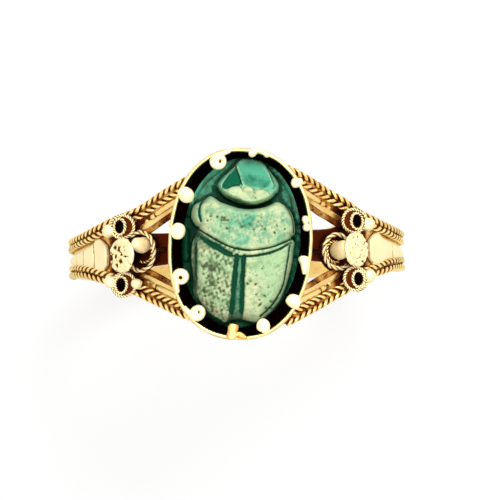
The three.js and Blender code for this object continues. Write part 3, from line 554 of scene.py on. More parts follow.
# hoop and shoulder plates
def makeHoop(look):
    # a rounded oblong section carried round the finger, from tongue tip to tongue tip;
    # half width and outer radius follow the shoulder curves
    turn = np.linspace(look["from"], 360 - look["from"], look["rows"])[:, None]
    angle = np.minimum(turn, 360 - turn)
    high = shellRadiusAt(angle)
    low = np.full_like(high, hoop["bore"])
    corner = look["corner"]
    shelf = np.where(angle < hoop["plateFull"], tongueAt(angle), halfWidthAt(angle)) - corner
    # each corner is a quarter circle, and the flats between have their own steps
    bend = np.arange(look["cornerSteps"]) / (look["cornerSteps"] - 1) * math.pi / 2
    rise, run = corner * np.sin(bend), corner * np.cos(bend)
    flat = np.linspace(-1, 1, look["flatSteps"] + 2)[1:-1]
    across = np.concatenate([
        shelf * flat, shelf + rise, shelf + run, shelf * -flat, -shelf - rise, -shelf - run], 1)
    out = np.concatenate([
        low + 0 * flat, low + corner - run, high - corner + rise, high + 0 * flat, high - corner + run,
        low + corner - rise], 1)
    grid = np.stack([out * np.sin(turn * degree), across, out * np.cos(turn * degree)], -1)
    # painted shadow under the clusters, a little painted shade on the rest of the face, and less in the bore
    face = smooth(low + 0.5 * (high - low), high, out)
    marks = [smooth(55, 50, angle) * face * 0.95, smooth(85, 60, angle) * face * 0.4]
    marks.append(smooth(low + 0.3, low, out) * 0.08)
    makePiece("hoopBand", [shell(grid, np.maximum.reduce(marks))], polished, ["hoop"])


makeHoop({"from": hoop["plateEnd"], "rows": 400, "corner": 0.2, "cornerSteps": 5, "flatSteps": 12})
print("hoop made")


# bezel: every piece is drawn about its own middle, then turned with it
bezel = {
    "halfWidth": 4.16, "halfLength": 5.59, "turn": -4.4, "floor": 9.12, "ledge": 0.34, "ledgeWidth": 1.25,
    "height": 2.95, "wall": 0.24, "flare": -0.12, "rim": 0.15, "gap": 0.03, "fullness": 0.88,
}
colletTop = bezel["floor"] + bezel["height"]
wallFoot = bezel["floor"] + bezel["ledge"] + bezel["gap"]
rimHeight = colletTop + bezel["gap"] + bezel["rim"]


def turned(points, angle):
    # a turn about Z
    c, s = math.cos(angle * degree), math.sin(angle * degree)
    return points @ np.array([[c, s, 0], [-s, c, 0], [0, 0, 1]])


def filled(share):
    # a direction's share, filled out towards the corners of the oval
    return np.sign(share) * np.abs(share) ** bezel["fullness"]


def ovalPoints(turn, out, height):
    # a place round the bezel, a distance out from its middle line and a height
    x = (bezel["halfWidth"] + out) * filled(np.cos(turn))
    y = (bezel["halfLength"] + out) * filled(np.sin(turn))
    return np.stack(np.broadcast_arrays(x, y, height), -1)


def ovalShell(outline, recess, count, wave, seed, mottle=0.12):
    # a closed outline of (out, height) carried round the oval, anticlockwise seen from above
    turn = np.arange(count)[:, None] * fullTurn / count
    grid = ovalPoints(turn, outline[None, ::-1, 0], outline[None, ::-1, 1])
    grid = handWork(handWork(grid, wave, 3.0, seed), wave / 2, 1.0, seed)
    recess = recess[::-1] + mottle * waves(grid[..., 0], grid[..., 1], 0.9, seed)
    return shell(turned(grid, bezel["turn"]), recess, wrapRows=True)


def outlineSteps(corners, step):
    # a closed outline with more points along its straight runs
    corners = np.array(corners, float)
    points = []
    for a, b in zip(corners, np.roll(corners, -1, 0)):
        count = max(int(np.linalg.norm(b[:2] - a[:2]) / step), 1)
        points.append(a + (b - a) * (np.arange(count) / count)[:, None])
    return np.concatenate(points)


def makeCollet(look):
    half, ease, count = bezel["wall"] / 2, look["ease"], look["count"]
    foot = half + bezel["flare"]
    # out, height and painted shade at each corner of the wall's section, near black inside
    wall = outlineSteps([
        (foot, wallFoot, 0.45), (foot - ease, wallFoot + 1.0, 0.15), (half, colletTop - ease, 0.1),
        (half - ease, colletTop, 0.6), (ease - half, colletTop, 1.0), (-half, colletTop - ease, 1.2),
        (bezel["flare"] - half, wallFoot, 1.2)], look["step"])
    makePiece("colletWall", [ovalShell(wall[:, :2], wall[:, 2], count, look["wave"], 3)],
              shadowed, ["collet_wall"])
    # and of the ledge's
    inner, low, high = half - bezel["ledgeWidth"], bezel["floor"], wallFoot - bezel["gap"]
    base = outlineSteps([
        (foot - ease, low, 0.1), (foot, low + ease, 0.2), (foot, high - ease, 0.4), (foot - ease, high, 1.0),
        (inner + ease, high, 1.2), (inner, high - ease, 0.9), (inner, low + ease, 0.3),
        (inner + ease, low, 0.1)], look["step"])
    makePiece("colletLedge", [ovalShell(base[:, :2], base[:, 2], count, look["wave"] / 2, 4)],
              shadowed, ["collet_base"])
    turn = np.arange(look["rimCorners"]) * fullTurn / look["rimCorners"]
    thick = bezel["rim"] - look["rimWear"]
    rim = np.stack([thick * np.cos(turn), rimHeight + thick * np.sin(turn)], 1)
    # the rim wire is painted darker underneath as shade
    makePiece("rimWire", [ovalShell(rim, smooth(0.5, -0.6, np.sin(turn)), count, look["rimWave"], 5, 0.25)],
              polished, ["collet_rim"])


makeCollet({
    "count": 240, "step": 0.22, "ease": 0.05, "wave": 0.012, "rimWave": 0.02, "rimWear": 0.04,
    "rimCorners": 14})
print("collet made")


# claws: flat wires that leave the rim and end over the stone in a scroll or a melted bead
clawForm = {"disc": 0.53, "wire": 0.2, "flat": 0.8, "reach": 0.34, "stem": 1.7, "thinShare": 0.6}
clawHeight = rimHeight + bezel["rim"] + bezel["gap"] + clawForm["wire"] * clawForm["flat"]
claws = [
    {"kind": "scroll", "hand": 1, "turn": 0.31, "reach": 1.4, "size": 1.0, "eye": (-0.16, 0.12)},
    {"kind": "cross", "turn": 0.238, "reach": 0.6, "size": 0.46},
    {"kind": "bead", "turn": 0.113, "reach": 0.37, "size": 0.62, "long": 1.0},
    {"kind": "twin", "turn": 0.034, "reach": 0.76, "size": 0.84},
    {"kind": "wedge", "turn": 0.975, "reach": 0.86, "size": 0.95},
    {"kind": "bead", "turn": 0.906, "reach": 0.71, "size": 0.78, "long": 1.15},
    {"kind": "bead", "turn": 0.814, "reach": 1.32, "size": 0.82, "long": 1.0},
    {"kind": "prong", "turn": 0.745, "reach": 1.11, "size": 0.85},
    {"kind": "scroll", "hand": 1, "turn": 0.648, "reach": 1.43, "size": 0.96, "eye": (0.1, 0.2)},
    {"kind": "scroll", "hand": -1, "turn": 0.56, "reach": 1.48, "size": 1.0, "eye": (0.05, -0.05)},
    {"kind": "bead", "turn": 0.489, "reach": 1.18, "size": 0.92, "long": 0.95},
    {"kind": "bead", "turn": 0.423, "reach": 1.13, "size": 0.88, "long": 1.1},
]
# place along the rim, place inward and thickness, in shares of the disc's radius, and each path's painted
# shade
clawPaths = {
    "twin": {"girth": 0.5, "paintedShade": 0.0, "places": [
        (-1, 0, 0.35), (-0.85, 0, 0.82), (-0.5, 0.02, 1), (-0.22, 0, 0.86), (0, 0, 0.62), (0.2, 0, 0.84),
        (0.5, -0.02, 1.0), (0.82, 0, 0.82), (1, 0, 0.35)]},
    "wedge": {"girth": 0.66, "paintedShade": 0.0, "places": [
        (-1.1, -0.25, 0.35), (-0.6, -0.16, 0.58), (0.1, -0.05, 0.82), (0.6, 0.1, 1.0), (0.88, 0.15, 0.8),
        (1.0, 0.16, 0.4)]},
    "prong": {"girth": 0.9, "paintedShade": 0.3, "places": [
        (0.1, -1, 0.7), (0.0, -0.6, 0.92), (0, 0, 0.74), (0.05, 0.5, 0.84), (0, 0.82, 0.62),
        (0, 0.95, 0.25)]},
    "cross": {"girth": 1.1, "paintedShade": 0.0, "places": [
        (-4.2, -0.4, 0.3), (-3.8, -0.3, 0.75), (-3, -0.7, 0.62), (-1.4, -1, 0.5), (-0.6, -0.4, 0.75),
        (0, 0, 1), (0.6, 0.1, 0.85), (0.95, 0.1, 0.3)]},
}
# solder spilt beside the prong
solderPath = {"girth": 1.0, "paintedShade": 0.45, "places": [
    (-0.3, -0.5, 0.3), (0.3, -0.42, 0.42), (1.0, -0.42, 0.46), (1.6, -0.54, 0.35), (2.0, -0.66, 0.15)]}
# the melted heart of a scroll, from its eye to its rim: place out, height, painted shade,
# most in the eye, and how far it follows the eye off centre
scrollHeart = np.array([
    (0.0, -0.62, 1, 1), (0.1, -0.6, 1, 1), (0.16, -0.2, 0.9, 1), (0.22, 0.5, 0.35, 1),
    (0.34, 0.8, 0, 0.9), (0.52, 0.72, 0, 0.6), (0.68, 0.3, 0.1, 0.2), (0.72, -0.3, 0.5, 0),
    (0.52, -0.75, 1, 0), (0.1, -0.85, 1, 0)])


def clawSeat(claw):
    # the place on the rim, moved in over the stone: X along the rim, Y towards the stone
    angle = fullTurn * claw["turn"]
    foot = ovalPoints(angle, 0, clawHeight)
    along = ovalPoints(angle + 0.01, 0, 0) - ovalPoints(angle - 0.01, 0, 0)
    along /= np.linalg.norm(along)
    inward = np.array([-along[1], along[0], 0])
    return foot + inward * clawForm["reach"] * claw["reach"], np.array([along, inward, [0, 0, 1]])


def flattened(thick, tallest=clawForm["wire"], share=clawForm["flat"]):
    # how flat a wire is where it is thicker than the claws stand tall
    return np.minimum(thick, tallest) * share / thick


def scrollShells(claw, disc, tall, seed, look):
    # a wire that comes along the rim and curls into a coil
    hand, start = claw["hand"], disc - clawForm["wire"]
    stem = throughRun([
        (-hand * disc * clawForm["stem"], -start - 0.02, 0), (-hand * disc * 0.9, -start - 0.01, 0),
        (-hand * disc * 0.3, -start, 0)], 8)
    turn = np.linspace(0, 1, look["scrollSteps"])
    angle = fullTurn * look["coilTurns"] * turn
    radius = mixed(start * 1.06, start * look["coilEnd"], turn)
    coil = np.stack([hand * radius * np.sin(angle), -radius * np.cos(angle), 0 * turn], 1)
    run = handWork(np.concatenate([stem, coil]), look["wobble"], 1.4, seed)
    thick = clawForm["wire"] * np.concatenate([
        np.linspace(clawForm["thinShare"], 0.95, len(stem)), mixed(1, clawForm["thinShare"], turn**2)])
    thick[:3] *= [0.3, 0.75, 0.95]
    # the coil's heart is melted nearly shut, with a small eye left in it
    out, level, paintedShade, share = scrollHeart[::-1].T[..., None]
    eyeX, eyeY = np.array(claw["eye"]) * disc
    around = np.arange(look["cols"]) * fullTurn / look["cols"]
    heart = np.stack(np.broadcast_arrays(
        out * disc * np.cos(around) + eyeX * share, out * disc * np.sin(around) + eyeY * share,
        level * tall / 2), -1)
    return [tube(run, thick, upright, look["corners"], flat=flattened(thick)), shell(heart, paintedShade)]


def beadShells(claw, disc, tall, seed, look):
    # a flattened ball, longer one way, with slow dents, on a neck that widens towards it
    bead = ball(disc * 0.98, tall, look["rows"], look["cols"], look["dent"], seed)
    bead["points"] = bead["points"] * [1, claw["long"], 1]
    run = throughRun([(0, -disc, -0.02), (0, -disc * 0.7, 0), (0, 0, 0)], 5)
    thick = disc * np.linspace(0.42, 0.8, len(run))
    flat = clawForm["wire"] * clawForm["flat"] * 0.85 / thick
    return [bead, tube(run, thick, upright, look["corners"], flat=flat)]


def pathShell(path, disc, reach, seed, look, **flatness):
    # a wire of uneven thickness along a path
    run = throughRun(np.array(path["places"]) * [disc, disc, disc * path["girth"]], look["pathSteps"])
    thick = np.maximum(run[:, 2], 0.02)
    run = handWork(run * [1, 1, 0], look["wobble"], reach, seed)
    flat = flattened(thick, **flatness)
    return tube(run, thick, upright, look["corners"], flat=flat, recess=path["paintedShade"])


def makeClaw(number, claw, look):
    kind = claw["kind"]
    disc = clawForm["disc"] * claw["size"]
    tall = 2 * clawForm["wire"] * clawForm["flat"]
    seed = 20 + number
    if kind == "scroll":
        shells = scrollShells(claw, disc, tall, seed, look)
    elif kind == "bead":
        shells = beadShells(claw, disc, tall, seed, look)
    else:
        shells = [pathShell(clawPaths[kind], disc, 1.4, seed, look)]
    if kind == "prong":
        shells.append(pathShell(solderPath, disc, 0.8, seed + 1, look, tallest=0.11, share=1.0))
    shells = [
        {**skin, "points": turned(skin["points"], bezel["turn"])} for skin in placed(shells, clawSeat(claw))]
    gold = polished if kind == "prong" else beaded
    makePiece(f"clawTip{number:02d}", shells, gold, [f"claw_{number:02d}"])


clawLook = {
    "rows": 13, "cols": 26, "corners": 14, "scrollSteps": 80, "pathSteps": 7, "dent": 0.045, "wobble": 0.03,
    "coilTurns": 1.02, "coilEnd": 0.84,
}
for clawNumber, claw in enumerate(claws, 1):
    makeClaw(clawNumber, claw, clawLook)
print("claws made")


# the scarab, drawn in its own frame: X across, Y towards the head, Z up from the ledge
scarabForm = {
    "halfWidth": 3.55, "halfLength": 5.1, "turn": -6.4, "shift": (0.08, 0.17), "base": wallFoot,
    "plinth": 1.25, "chamfer": 0.12, "rebate": 0.1, "rebateOut": -0.86,
    "backHalfWidth": 3.5, "backHalfLength": 5.25, "backMiddle": -0.2, "foot": 1.9, "top": 4.44,
    "square": 2.3, "across": 240, "along": 340, "wallRows": 5,
}
# the carver's lines, seen from above
scarabOutlines = {
    "wingCases": [
        (-2.87, -0.1), (-2.96, -0.53), (-2.94, -1.23), (-2.8, -2.0), (-2.66, -2.61), (-2.64, -3.15),
        (-2.48, -3.61), (-2.17, -4.01), (-1.77, -4.4), (-1.27, -4.75), (-0.78, -4.94), (-0.47, -4.94),
        (0.06, -4.73), (0.68, -4.72), (1.32, -4.85), (1.62, -4.69), (1.97, -4.27), (2.32, -3.82),
        (2.63, -3.32), (2.85, -2.68), (2.99, -2.04), (3.1, -1.48), (3.17, -0.93), (3.19, -0.3), (3.14, 0.3),
        (2.4, 0.6), (0, 0.4), (-2.3, 0.7)],
    "thorax": [
        (-2.04, 2.55), (-1.44, 2.24), (-0.88, 2.09), (-0.33, 1.97), (0.21, 1.96), (0.75, 2.05),
        (1.28, 2.24), (1.8, 2.54), (2.2, 2.47), (2.62, 2.21), (2.94, 1.79), (3.1, 1.26), (3.17, 0.8),
        (3.0, 0.5), (2.63, 0.25), (2.1, -0.05), (1.49, -0.29), (0.89, -0.45), (0.43, -0.53), (-0.12, -0.51),
        (-0.67, -0.41), (-1.15, -0.23), (-1.63, -0.01), (-2.12, 0.24), (-2.56, 0.5), (-2.89, 0.72),
        (-3.11, 1.03), (-3.17, 1.35), (-3.13, 1.75), (-2.92, 2.02), (-2.5, 2.24)],
    "head": [
        (-0.31, 5.08), (0.07, 5.14), (0.51, 5.08), (0.88, 4.92), (1.24, 4.5), (1.54, 4.14), (1.82, 3.8),
        (1.98, 3.48), (1.93, 3.12), (1.75, 2.86), (1.5, 2.55), (0.97, 2.26), (0.52, 2.1), (-0.03, 2.1),
        (-0.59, 2.24), (-1.2, 2.52), (-1.54, 2.8), (-1.71, 3.05), (-1.74, 3.29), (-1.54, 3.63),
        (-1.18, 4.06), (-0.83, 4.46), (-0.61, 4.82)],
    "leftFacet": [(-1.46, 3.2), (-0.82, 4.3), (-0.62, 4.2), (-0.31, 3.3), (-0.9, 3.02), (-1.28, 2.88)],
    "middleFacet": [
        (-0.66, 4.5), (-0.25, 4.88), (0.3, 4.95), (0.92, 4.74), (1.2, 4.2), (1.48, 3.56), (1.0, 3.1),
        (0.1, 3.22), (-0.2, 3.3)],
    "rightFacet": [
        (1.06, 4.6), (1.4, 4.18), (1.72, 3.76), (1.84, 3.42), (1.7, 3.05), (1.5, 3.2), (1.56, 3.5),
        (1.3, 4.1)],
}
# lines cut into the back: depth, half width, darkness and places
scarabCuts = [
    {"depth": 0.4, "half": 0.14, "dark": 1.0, "places": [
        (-1.95, 2.98), (-1.83, 2.85), (-1.3, 2.52), (-0.42, 2.24), (0.29, 2.1), (1.14, 2.22), (1.81, 2.61),
        (2.17, 3.06)]},
    {"depth": 0.2, "half": 0.1, "dark": 0.8, "places": [
        (-2.44, 2.3), (-2.63, 1.83), (-2.66, 1.35), (-2.52, 0.89)]},
    {"depth": 0.16, "half": 0.075, "dark": 0.85, "places": [
        (2.42, 2.26), (2.78, 1.76), (2.96, 1.24), (3.02, 0.77)]},
    {"depth": 0.22, "half": 0.21, "dark": 1.0, "places": [
        (-2.95, 0.42), (-2.6, 0.08), (-2.0, -0.3), (-1.26, -0.68), (-0.62, -0.93)]},
    {"depth": 0.16, "half": 0.07, "dark": 0.9, "places": [
        (-2.55, 0.4), (-2.11, 0.12), (-1.62, -0.12), (-1.14, -0.34), (-0.66, -0.51), (-0.11, -0.6),
        (0.43, -0.62), (0.97, -0.53), (1.58, -0.37), (2.18, -0.11), (2.71, 0.2), (3.05, 0.44)]},
    {"depth": 0.14, "half": 0.08, "dark": 1.0, "places": [
        (-2.23, -0.27), (-1.42, -0.72), (-0.78, -0.98), (-0.15, -1.03), (0.46, -0.97), (1.07, -0.85),
        (1.68, -0.65), (2.21, -0.4), (2.65, -0.08), (2.92, 0.12)]},
    {"depth": 0.18, "half": 0.16, "dark": 1.0, "places": [
        (-0.24, -1.0), (-0.25, -1.52), (-0.26, -2.52), (-0.26, -3.43), (-0.24, -4.8)]},
    {"depth": 0.18, "half": 0.15, "dark": 1.0, "places": [
        (0.2, -1.0), (0.21, -1.47), (0.26, -2.47), (0.32, -3.39), (0.38, -4.8)]},
    {"depth": 0.15, "half": 0.12, "dark": 1.0, "places": [
        (-2.69, -0.2), (-2.67, -0.91), (-2.6, -1.68), (-2.51, -2.52), (-2.48, -3.05), (-2.42, -3.5),
        (-2.2, -3.87), (-1.87, -4.23), (-1.37, -4.62), (-0.8, -4.86)]},
    {"depth": 0.14, "half": 0.08, "dark": 0.75, "places": [
        (2.86, -0.05), (2.83, -0.66), (2.77, -1.36), (2.72, -2.06), (2.64, -2.53), (2.42, -3.09),
        (2.12, -3.66), (1.77, -4.08), (1.48, -4.38)]},
    {"depth": 0.09, "half": 0.055, "dark": 0.8, "places": [(-0.74, 4.42), (-0.27, 3.24)]},
    {"depth": 0.06, "half": 0.05, "dark": 0.6, "places": [(0.99, 4.82), (1.3, 4.17), (1.58, 3.55)]},
    {"depth": 0.07, "half": 0.06, "dark": 0.4, "places": [
        (-1.28, 2.72), (-0.95, 3.12), (-0.67, 3.27), (-0.35, 3.12), (-0.2, 2.85), (-0.12, 3.12), (0.11, 3.24),
        (0.4, 3.1), (0.5, 2.8), (0.62, 3.0), (0.9, 3.1), (1.25, 3.02), (1.5, 2.75)]},
]
# middles of the folded legs, and middles and reach of the brow's lobes
scarabLegs = [
    [(-1.6, 4.4), (-2.3, 3.72), (-2.82, 3.02), (-3.12, 2.2), (-3.22, 1.4)],
    [(1.28, 4.5), (1.94, 4.2), (2.46, 3.66), (2.88, 2.94), (3.12, 2.08), (3.2, 1.5)],
    [(3.28, 0.65), (3.33, 0.12), (3.31, -0.4)], [(3.22, -1.62), (3.19, -2.25), (3.06, -2.8)],
    [(2.92, -3.25), (2.7, -3.68), (2.4, -4.05)], [(-3.32, 0.35), (-3.25, -0.5), (-3.18, -1.28)],
    [(-3.05, -2.3), (-2.9, -3.1), (-2.55, -3.8)],
]
scarabLobes = [(-0.67, 2.84, 0.4), (0.11, 2.8, 0.38), (0.94, 2.68, 0.42)]


def distanceTo(places, x, y, closed=False):
    # distance from each point to a run of straight pieces, positive inside a closed one
    following = np.roll(places, -1, 0) if closed else places[1:]
    best = np.full(x.shape, 1e9)
    inside = np.zeros(x.shape, bool)
    for (ax, ay), (bx, by) in zip(places, following):
        dx, dy = bx - ax, by - ay
        share = np.clip(((x - ax) * dx + (y - ay) * dy) / (dx * dx + dy * dy), 0, 1)
        best = np.minimum(best, (x - ax - share * dx) ** 2 + (y - ay - share * dy) ** 2)
        if closed and dy:
            inside ^= ((ay > y) != (by > y)) & (x < ax + (y - ay) * dx / dy)
    best = np.sqrt(best)
    return np.where(inside, best, -best) if closed else best


def blurred(height, reach):
    # a Gaussian blur along both ways of the grid, as two matrices
    def mixing(count):
        apart = np.arange(count)[:, None] - np.arange(count)[None, :]
        weights = np.exp(-((apart / reach) ** 2) / 2)
        return weights / weights.sum(1, keepdims=True)
    return mixing(height.shape[0]) @ height @ mixing(height.shape[1]).T


def mound(x, y, middleX, middleY, halfX, halfY):
    # a soft hump, 1 at its middle
    return np.exp(-(((x - middleX) / halfX) ** 2 + ((y - middleY) / halfY) ** 2))


def depthIn(outline, x, y):
    return distanceTo(closedRun(scarabOutlines[outline]), x, y, True)


def raised(depth, under, top, roll, square):
    # up from what lies under it to the top inside an outline, with an edge that rolls over
    share = 1 - np.clip(depth / roll, 0, 1)
    lift = (1 - share**square) ** (1 / square)
    return np.where(depth > 0, under + (top - under) * lift, under)


def plinthAndDome(x, y, form):
    # a flat oval with a rounded edge, and a superellipsoid over it
    away = 1 - np.sqrt((x / form["halfWidth"]) ** 2 + (y / form["halfLength"]) ** 2)
    rim = np.clip(away * form["halfWidth"] / form["chamfer"], 0, 1)
    plinth = form["plinth"] - form["chamfer"] * (1 - np.sqrt(1 - (1 - rim) ** 2))
    plinth = plinth + 0.035 * waves(x, y, 1.3, 11) * rim
    spread = np.abs(x / form["backHalfWidth"]) ** form["square"]
    spread = spread + np.abs((y - form["backMiddle"]) / form["backHalfLength"]) ** form["square"]
    dome = form["foot"] + (form["top"] - form["foot"]) * np.maximum(1 - spread, 0) ** (1 / form["square"])
    return plinth, dome + 0.03 * waves(x, y, 1.6, 12)


def carvedBack(x, y, form):
    # height of every place, and the parts' depths inside their outlines, which the marks need
    part = {name: depthIn(name, x, y) for name in scarabOutlines}
    plinth, dome = plinthAndDome(x, y, form)
    wings = raised(part["wingCases"], plinth, dome, 0.7, 2.4)
    slope = np.clip((y - 2.3) / 2.8, 0, 1)
    head = raised(part["head"], plinth, dome - 0.2 - 0.5 * slope, 0.24, 2.0)
    for name, sunk, ease in (("leftFacet", 0.2, 0.14), ("middleFacet", 0.13, 0.4), ("rightFacet", 0.1, 0.12)):
        head = head - sunk * smooth(-0.03, ease, part[name])
    lobes = 0
    for lobeX, lobeY, reach in scarabLobes:
        near = (((x - lobeX) / 1.1) ** 2 + (y - lobeY) ** 2) / reach**2
        lobes = np.maximum(lobes, np.sqrt(np.clip(1 - near, 0, 1)))
    head = head + 0.1 * lobes * (part["head"] > 0)
    under = np.maximum(wings, head)
    height = raised(part["thorax"], under, dome + 0.12, 0.5, 2.2)
    # the ridge between the two seams is a little lower than the wing cases
    ridge = smooth(0.3, 0.2, np.abs(x - 0.03)) * smooth(-0.9, -1.1, y) * (part["wingCases"] > 0)
    height = height - 0.06 * ridge
    for leg in scarabLegs:
        apart = distanceTo(throughRun(leg, 6), x, y)
        shin = form["plinth"] - 0.1 + 0.4 * np.sqrt(np.clip(1 - (apart / 0.24) ** 2, 0, 1))
        low = (apart < 0.24) & (height < form["plinth"] + 0.3)
        height = np.where(low, np.maximum(height, shin), height)
    inside = np.maximum.reduce([part["wingCases"], part["thorax"], part["head"]])
    body = smooth(0.0, 0.12, inside)
    cut, dark = 0, 0
    for line in scarabCuts:
        apart = distanceTo(throughRun(line["places"], 6), x, y)
        trace = np.exp(-((apart / (line["half"] * (1 + 0.2 * waves(x, y, 0.8, 13)))) ** 2))
        cut = np.maximum(cut, line["depth"] * trace)
        dark = np.maximum(dark, line["dark"] * trace)
    # the last term is the chip at the tail
    height = height - cut * body - 0.5 * mound(x, y, 0.05, -4.95, 0.55, 0.22) * body
    return height, {**part, "inside": inside, "body": body, "dark": dark, "lobes": lobes}


def flakes(x, y, look):
    # pits left where the glaze has flaked, most on the left wing case
    source = np.random.default_rng(look["seed"])
    pits = np.zeros_like(x)
    for where, size, count in look["pits"]:
        pitX = source.normal(where[0], where[2], count)
        pitY = source.normal(where[1], where[3], count)
        reach = source.uniform(*size, count)
        stretch = source.uniform(1, 1.7, count)
        lie = source.uniform(0, math.pi, count)
        for k in range(count):
            dx, dy = x - pitX[k], y - pitY[k]
            along = dx * math.cos(lie[k]) + dy * math.sin(lie[k])
            off = dy * math.cos(lie[k]) - dx * math.sin(lie[k])
            near = (along / stretch[k]) ** 2 + off**2
            pits = np.maximum(pits, np.exp(-near / reach[k] ** 2) * min(1, 0.5 + reach[k] * 5))
    return pits


def cracks(x, y):
    # fine lines that wander over the back
    crack = np.abs(waves(x, y, 2.4, 14, 7) + 0.25 * waves(x, y, 0.5, 15, 8))
    return np.exp(-((crack / 0.025) ** 2)) * smooth(0.1, 0.6, waves(x, y, 2.0, 16))


def glazeMarks(x, y, height, part, look):
    # marks for the glaze: how far a place lies under or over its surroundings, and whose it is
    slow = 0.5 + 0.5 * waves(x, y, 0.9, 21, 12)
    quick = 0.5 + 0.5 * waves(x, y, 0.36, 22, 14)
    body, inside = part["body"], part["inside"]
    shade = 1 - body
    # painted shade where a place lies below its surroundings, and along the cut lines
    recess = np.clip((blurred(height, 9) - height) / 0.2, 0, 1) * 0.6
    recess = np.maximum(recess, part["dark"] * body)
    # pale patches are left on the plinth away from the body
    patches = look["plinthPatches"] * smooth(0.1, 0.4, -inside) * smooth(0.36, 0.6, 0.6 * slow + 0.4 * quick)
    # painted shadow: the plinth lies in the dark on the left, under the claws
    hidden = smooth(-2.4, -3.0, x) * smooth(2.4, 1.4, y) + 0.5 * smooth(-4.2, -4.9, y)
    recess = np.maximum(recess * (1 - patches), 0.9 * np.clip(hidden, 0, 1) * shade)
    worn = np.clip((height - blurred(height, 4)) / 0.035, 0, 1) * body * look["wear"]

    inHead = smooth(-0.02, 0.05, part["head"]) * (part["thorax"] < 0)
    inThorax = smooth(-0.05, 0.1, part["thorax"])
    ridge = smooth(0.3, 0.22, np.abs(x - 0.03)) * smooth(-0.95, -1.1, y) * (part["wingCases"] > 0)
    inFacet = smooth(-0.02, 0.12, np.maximum(part["middleFacet"], part["rightFacet"]))
    brow = np.maximum(smooth(0.0, 0.35, part["lobes"]), smooth(3.0, 2.8, y) * smooth(1.6, 1.1, np.abs(x)))
    turquoise = inHead * (0.62 + 0.38 * inFacet) * (1 - 0.8 * brow)
    turquoise = turquoise + inThorax * (0.36 + 0.28 * mound(x, y, 0.1, 0.9, 0.9, 1.2))
    turquoise = np.maximum.reduce([turquoise, shade * 0.75, ridge * 0.9])
    turquoise = turquoise + 0.18 * smooth(0.9, 0.1, part["wingCases"]) * (inThorax < 0.5) * (inHead < 0.5)
    turquoise = turquoise + (0.3 - 0.14 * inThorax) * (slow - 0.5) * body
    # green is laid darkest in the facets and on the plinth close to the body
    facetShade = smooth(4.5, 3.4, y) * 0.45 + 0.3 * (slow - 0.4)
    green = np.maximum.reduce([
        facetShade * smooth(-0.02, 0.12, part["middleFacet"]) * inHead * (1 - brow),
        0.95 * smooth(-0.02, 0.06, part["leftFacet"]) * inHead,
        0.45 * smooth(0.0, 0.1, part["rightFacet"]) * inHead, 0.8 * ridge,
        (shade - patches) * look["plinthGreen"] * smooth(0.6, 0.05, -inside) + shade * 0.9 * (quick - 0.5)])

    ownCase = (1 - inThorax) * (1 - inHead) * body
    leftCase = ownCase * smooth(0.1, -0.3, x)
    stain = leftCase * (look["leftStain"] + 0.5 * (slow - 0.5) + 0.7 * (quick - 0.5))
    stain = stain + (ownCase - leftCase) * (look["rightStain"] + 0.3 * (slow - 0.5) + 0.45 * (quick - 0.5))
    stain = stain + inThorax * (0.12 + 0.25 * mound(x, y, 0.2, 0.9, 1.8, 0.7) + 0.4 * (quick - 0.5))
    stain = stain + shade * look["plinthStain"] * smooth(0.35, 0.75, slow)
    stain = np.clip(stain, 0, 1)
    return {"recess": recess, "worn": worn, "turquoise": turquoise, "green": green, "stain": stain}


def stoneShell(x, y, height, marks, form):
    # the carved grid, whose border in order, anticlockwise, carries on down the plinth's side
    rows, cols = height.shape
    index = np.arange(rows * cols).reshape(rows, cols)
    border = np.concatenate([index[:-1, 0], index[-1, :-1], index[:0:-1, -1], index[0, :0:-1]])
    top = np.stack([x, y, height], -1).reshape(-1, 3)
    edge = top[border]
    angle = np.arctan2(edge[:, 1] / form["halfLength"], edge[:, 0] / form["halfWidth"])
    # how far out and how high each ring of the side is, down to the rebate
    chamfer = form["chamfer"]
    levels = [(0, level) for level in np.linspace(form["plinth"] - chamfer - 0.05, chamfer, form["wallRows"])]
    levels += [(-chamfer, 0), (form["rebateOut"], 0), (form["rebateOut"], -form["rebate"])]
    out, level = np.array(levels).T[..., None]
    rings = np.stack(np.broadcast_arrays(
        (form["halfWidth"] + out) * np.cos(angle), (form["halfLength"] + out) * np.sin(angle), level), -1)
    count = len(border)
    points = np.concatenate([top, rings.reshape(-1, 3), [[0, 0, -form["rebate"]]]])
    chain = np.concatenate([border[None], rows * cols + np.arange(len(levels) * count).reshape(-1, count)])
    here, below = chain[:-1], chain[1:]
    walls = np.stack([here, below, np.roll(below, -1, 1), np.roll(here, -1, 1)], -1).reshape(-1, 4)
    last = chain[-1]
    fan = np.stack([np.full(count, len(points) - 1), np.roll(last, -1), last], 1)
    # rows run to the right and columns to the head, so the patches are turned to face up
    quads = np.concatenate([gridQuads(rows, cols, False, False)[:, ::-1], walls])
    # the plinth's sides and foot carry some painted shade
    sideMarks = {"recess": 0.3, "worn": 0, "turquoise": 0.5, "green": 0.4, "pit": 0, "stain": 0.4}
    marks = {
        name: np.concatenate([value.ravel(), np.full(len(points) - rows * cols, sideMarks[name])])
        for name, value in marks.items()
    }
    points = turned(points, form["turn"]) + [*form["shift"], form["base"]]
    return {"points": points, "quads": quads, "tris": fan, "marks": marks}


def makeScarab(form, look):
    # a square pressed into a disc, then stretched to the plinth's oval
    across = np.linspace(-1, 1, form["across"])[:, None]
    along = np.linspace(-1, 1, form["along"])[None, :]
    x = form["halfWidth"] * across * np.sqrt(1 - along**2 / 2)
    y = form["halfLength"] * along * np.sqrt(1 - across**2 / 2)
    height, part = carvedBack(x, y, form)
    pits, crack = flakes(x, y, look), cracks(x, y)
    body = part["body"]
    height = height - 0.07 * pits * body
    height = height - 0.02 * crack * body + 0.008 * waves(x, y, 0.22, 17, 16) * body
    marks = glazeMarks(x, y, height, part, look)
    marks["pit"] = np.maximum(pits, 0.35 * crack) * body
    makePiece("glazedScarab", [stoneShell(x, y, height, marks, form)], wornGlaze, ["scarab"])


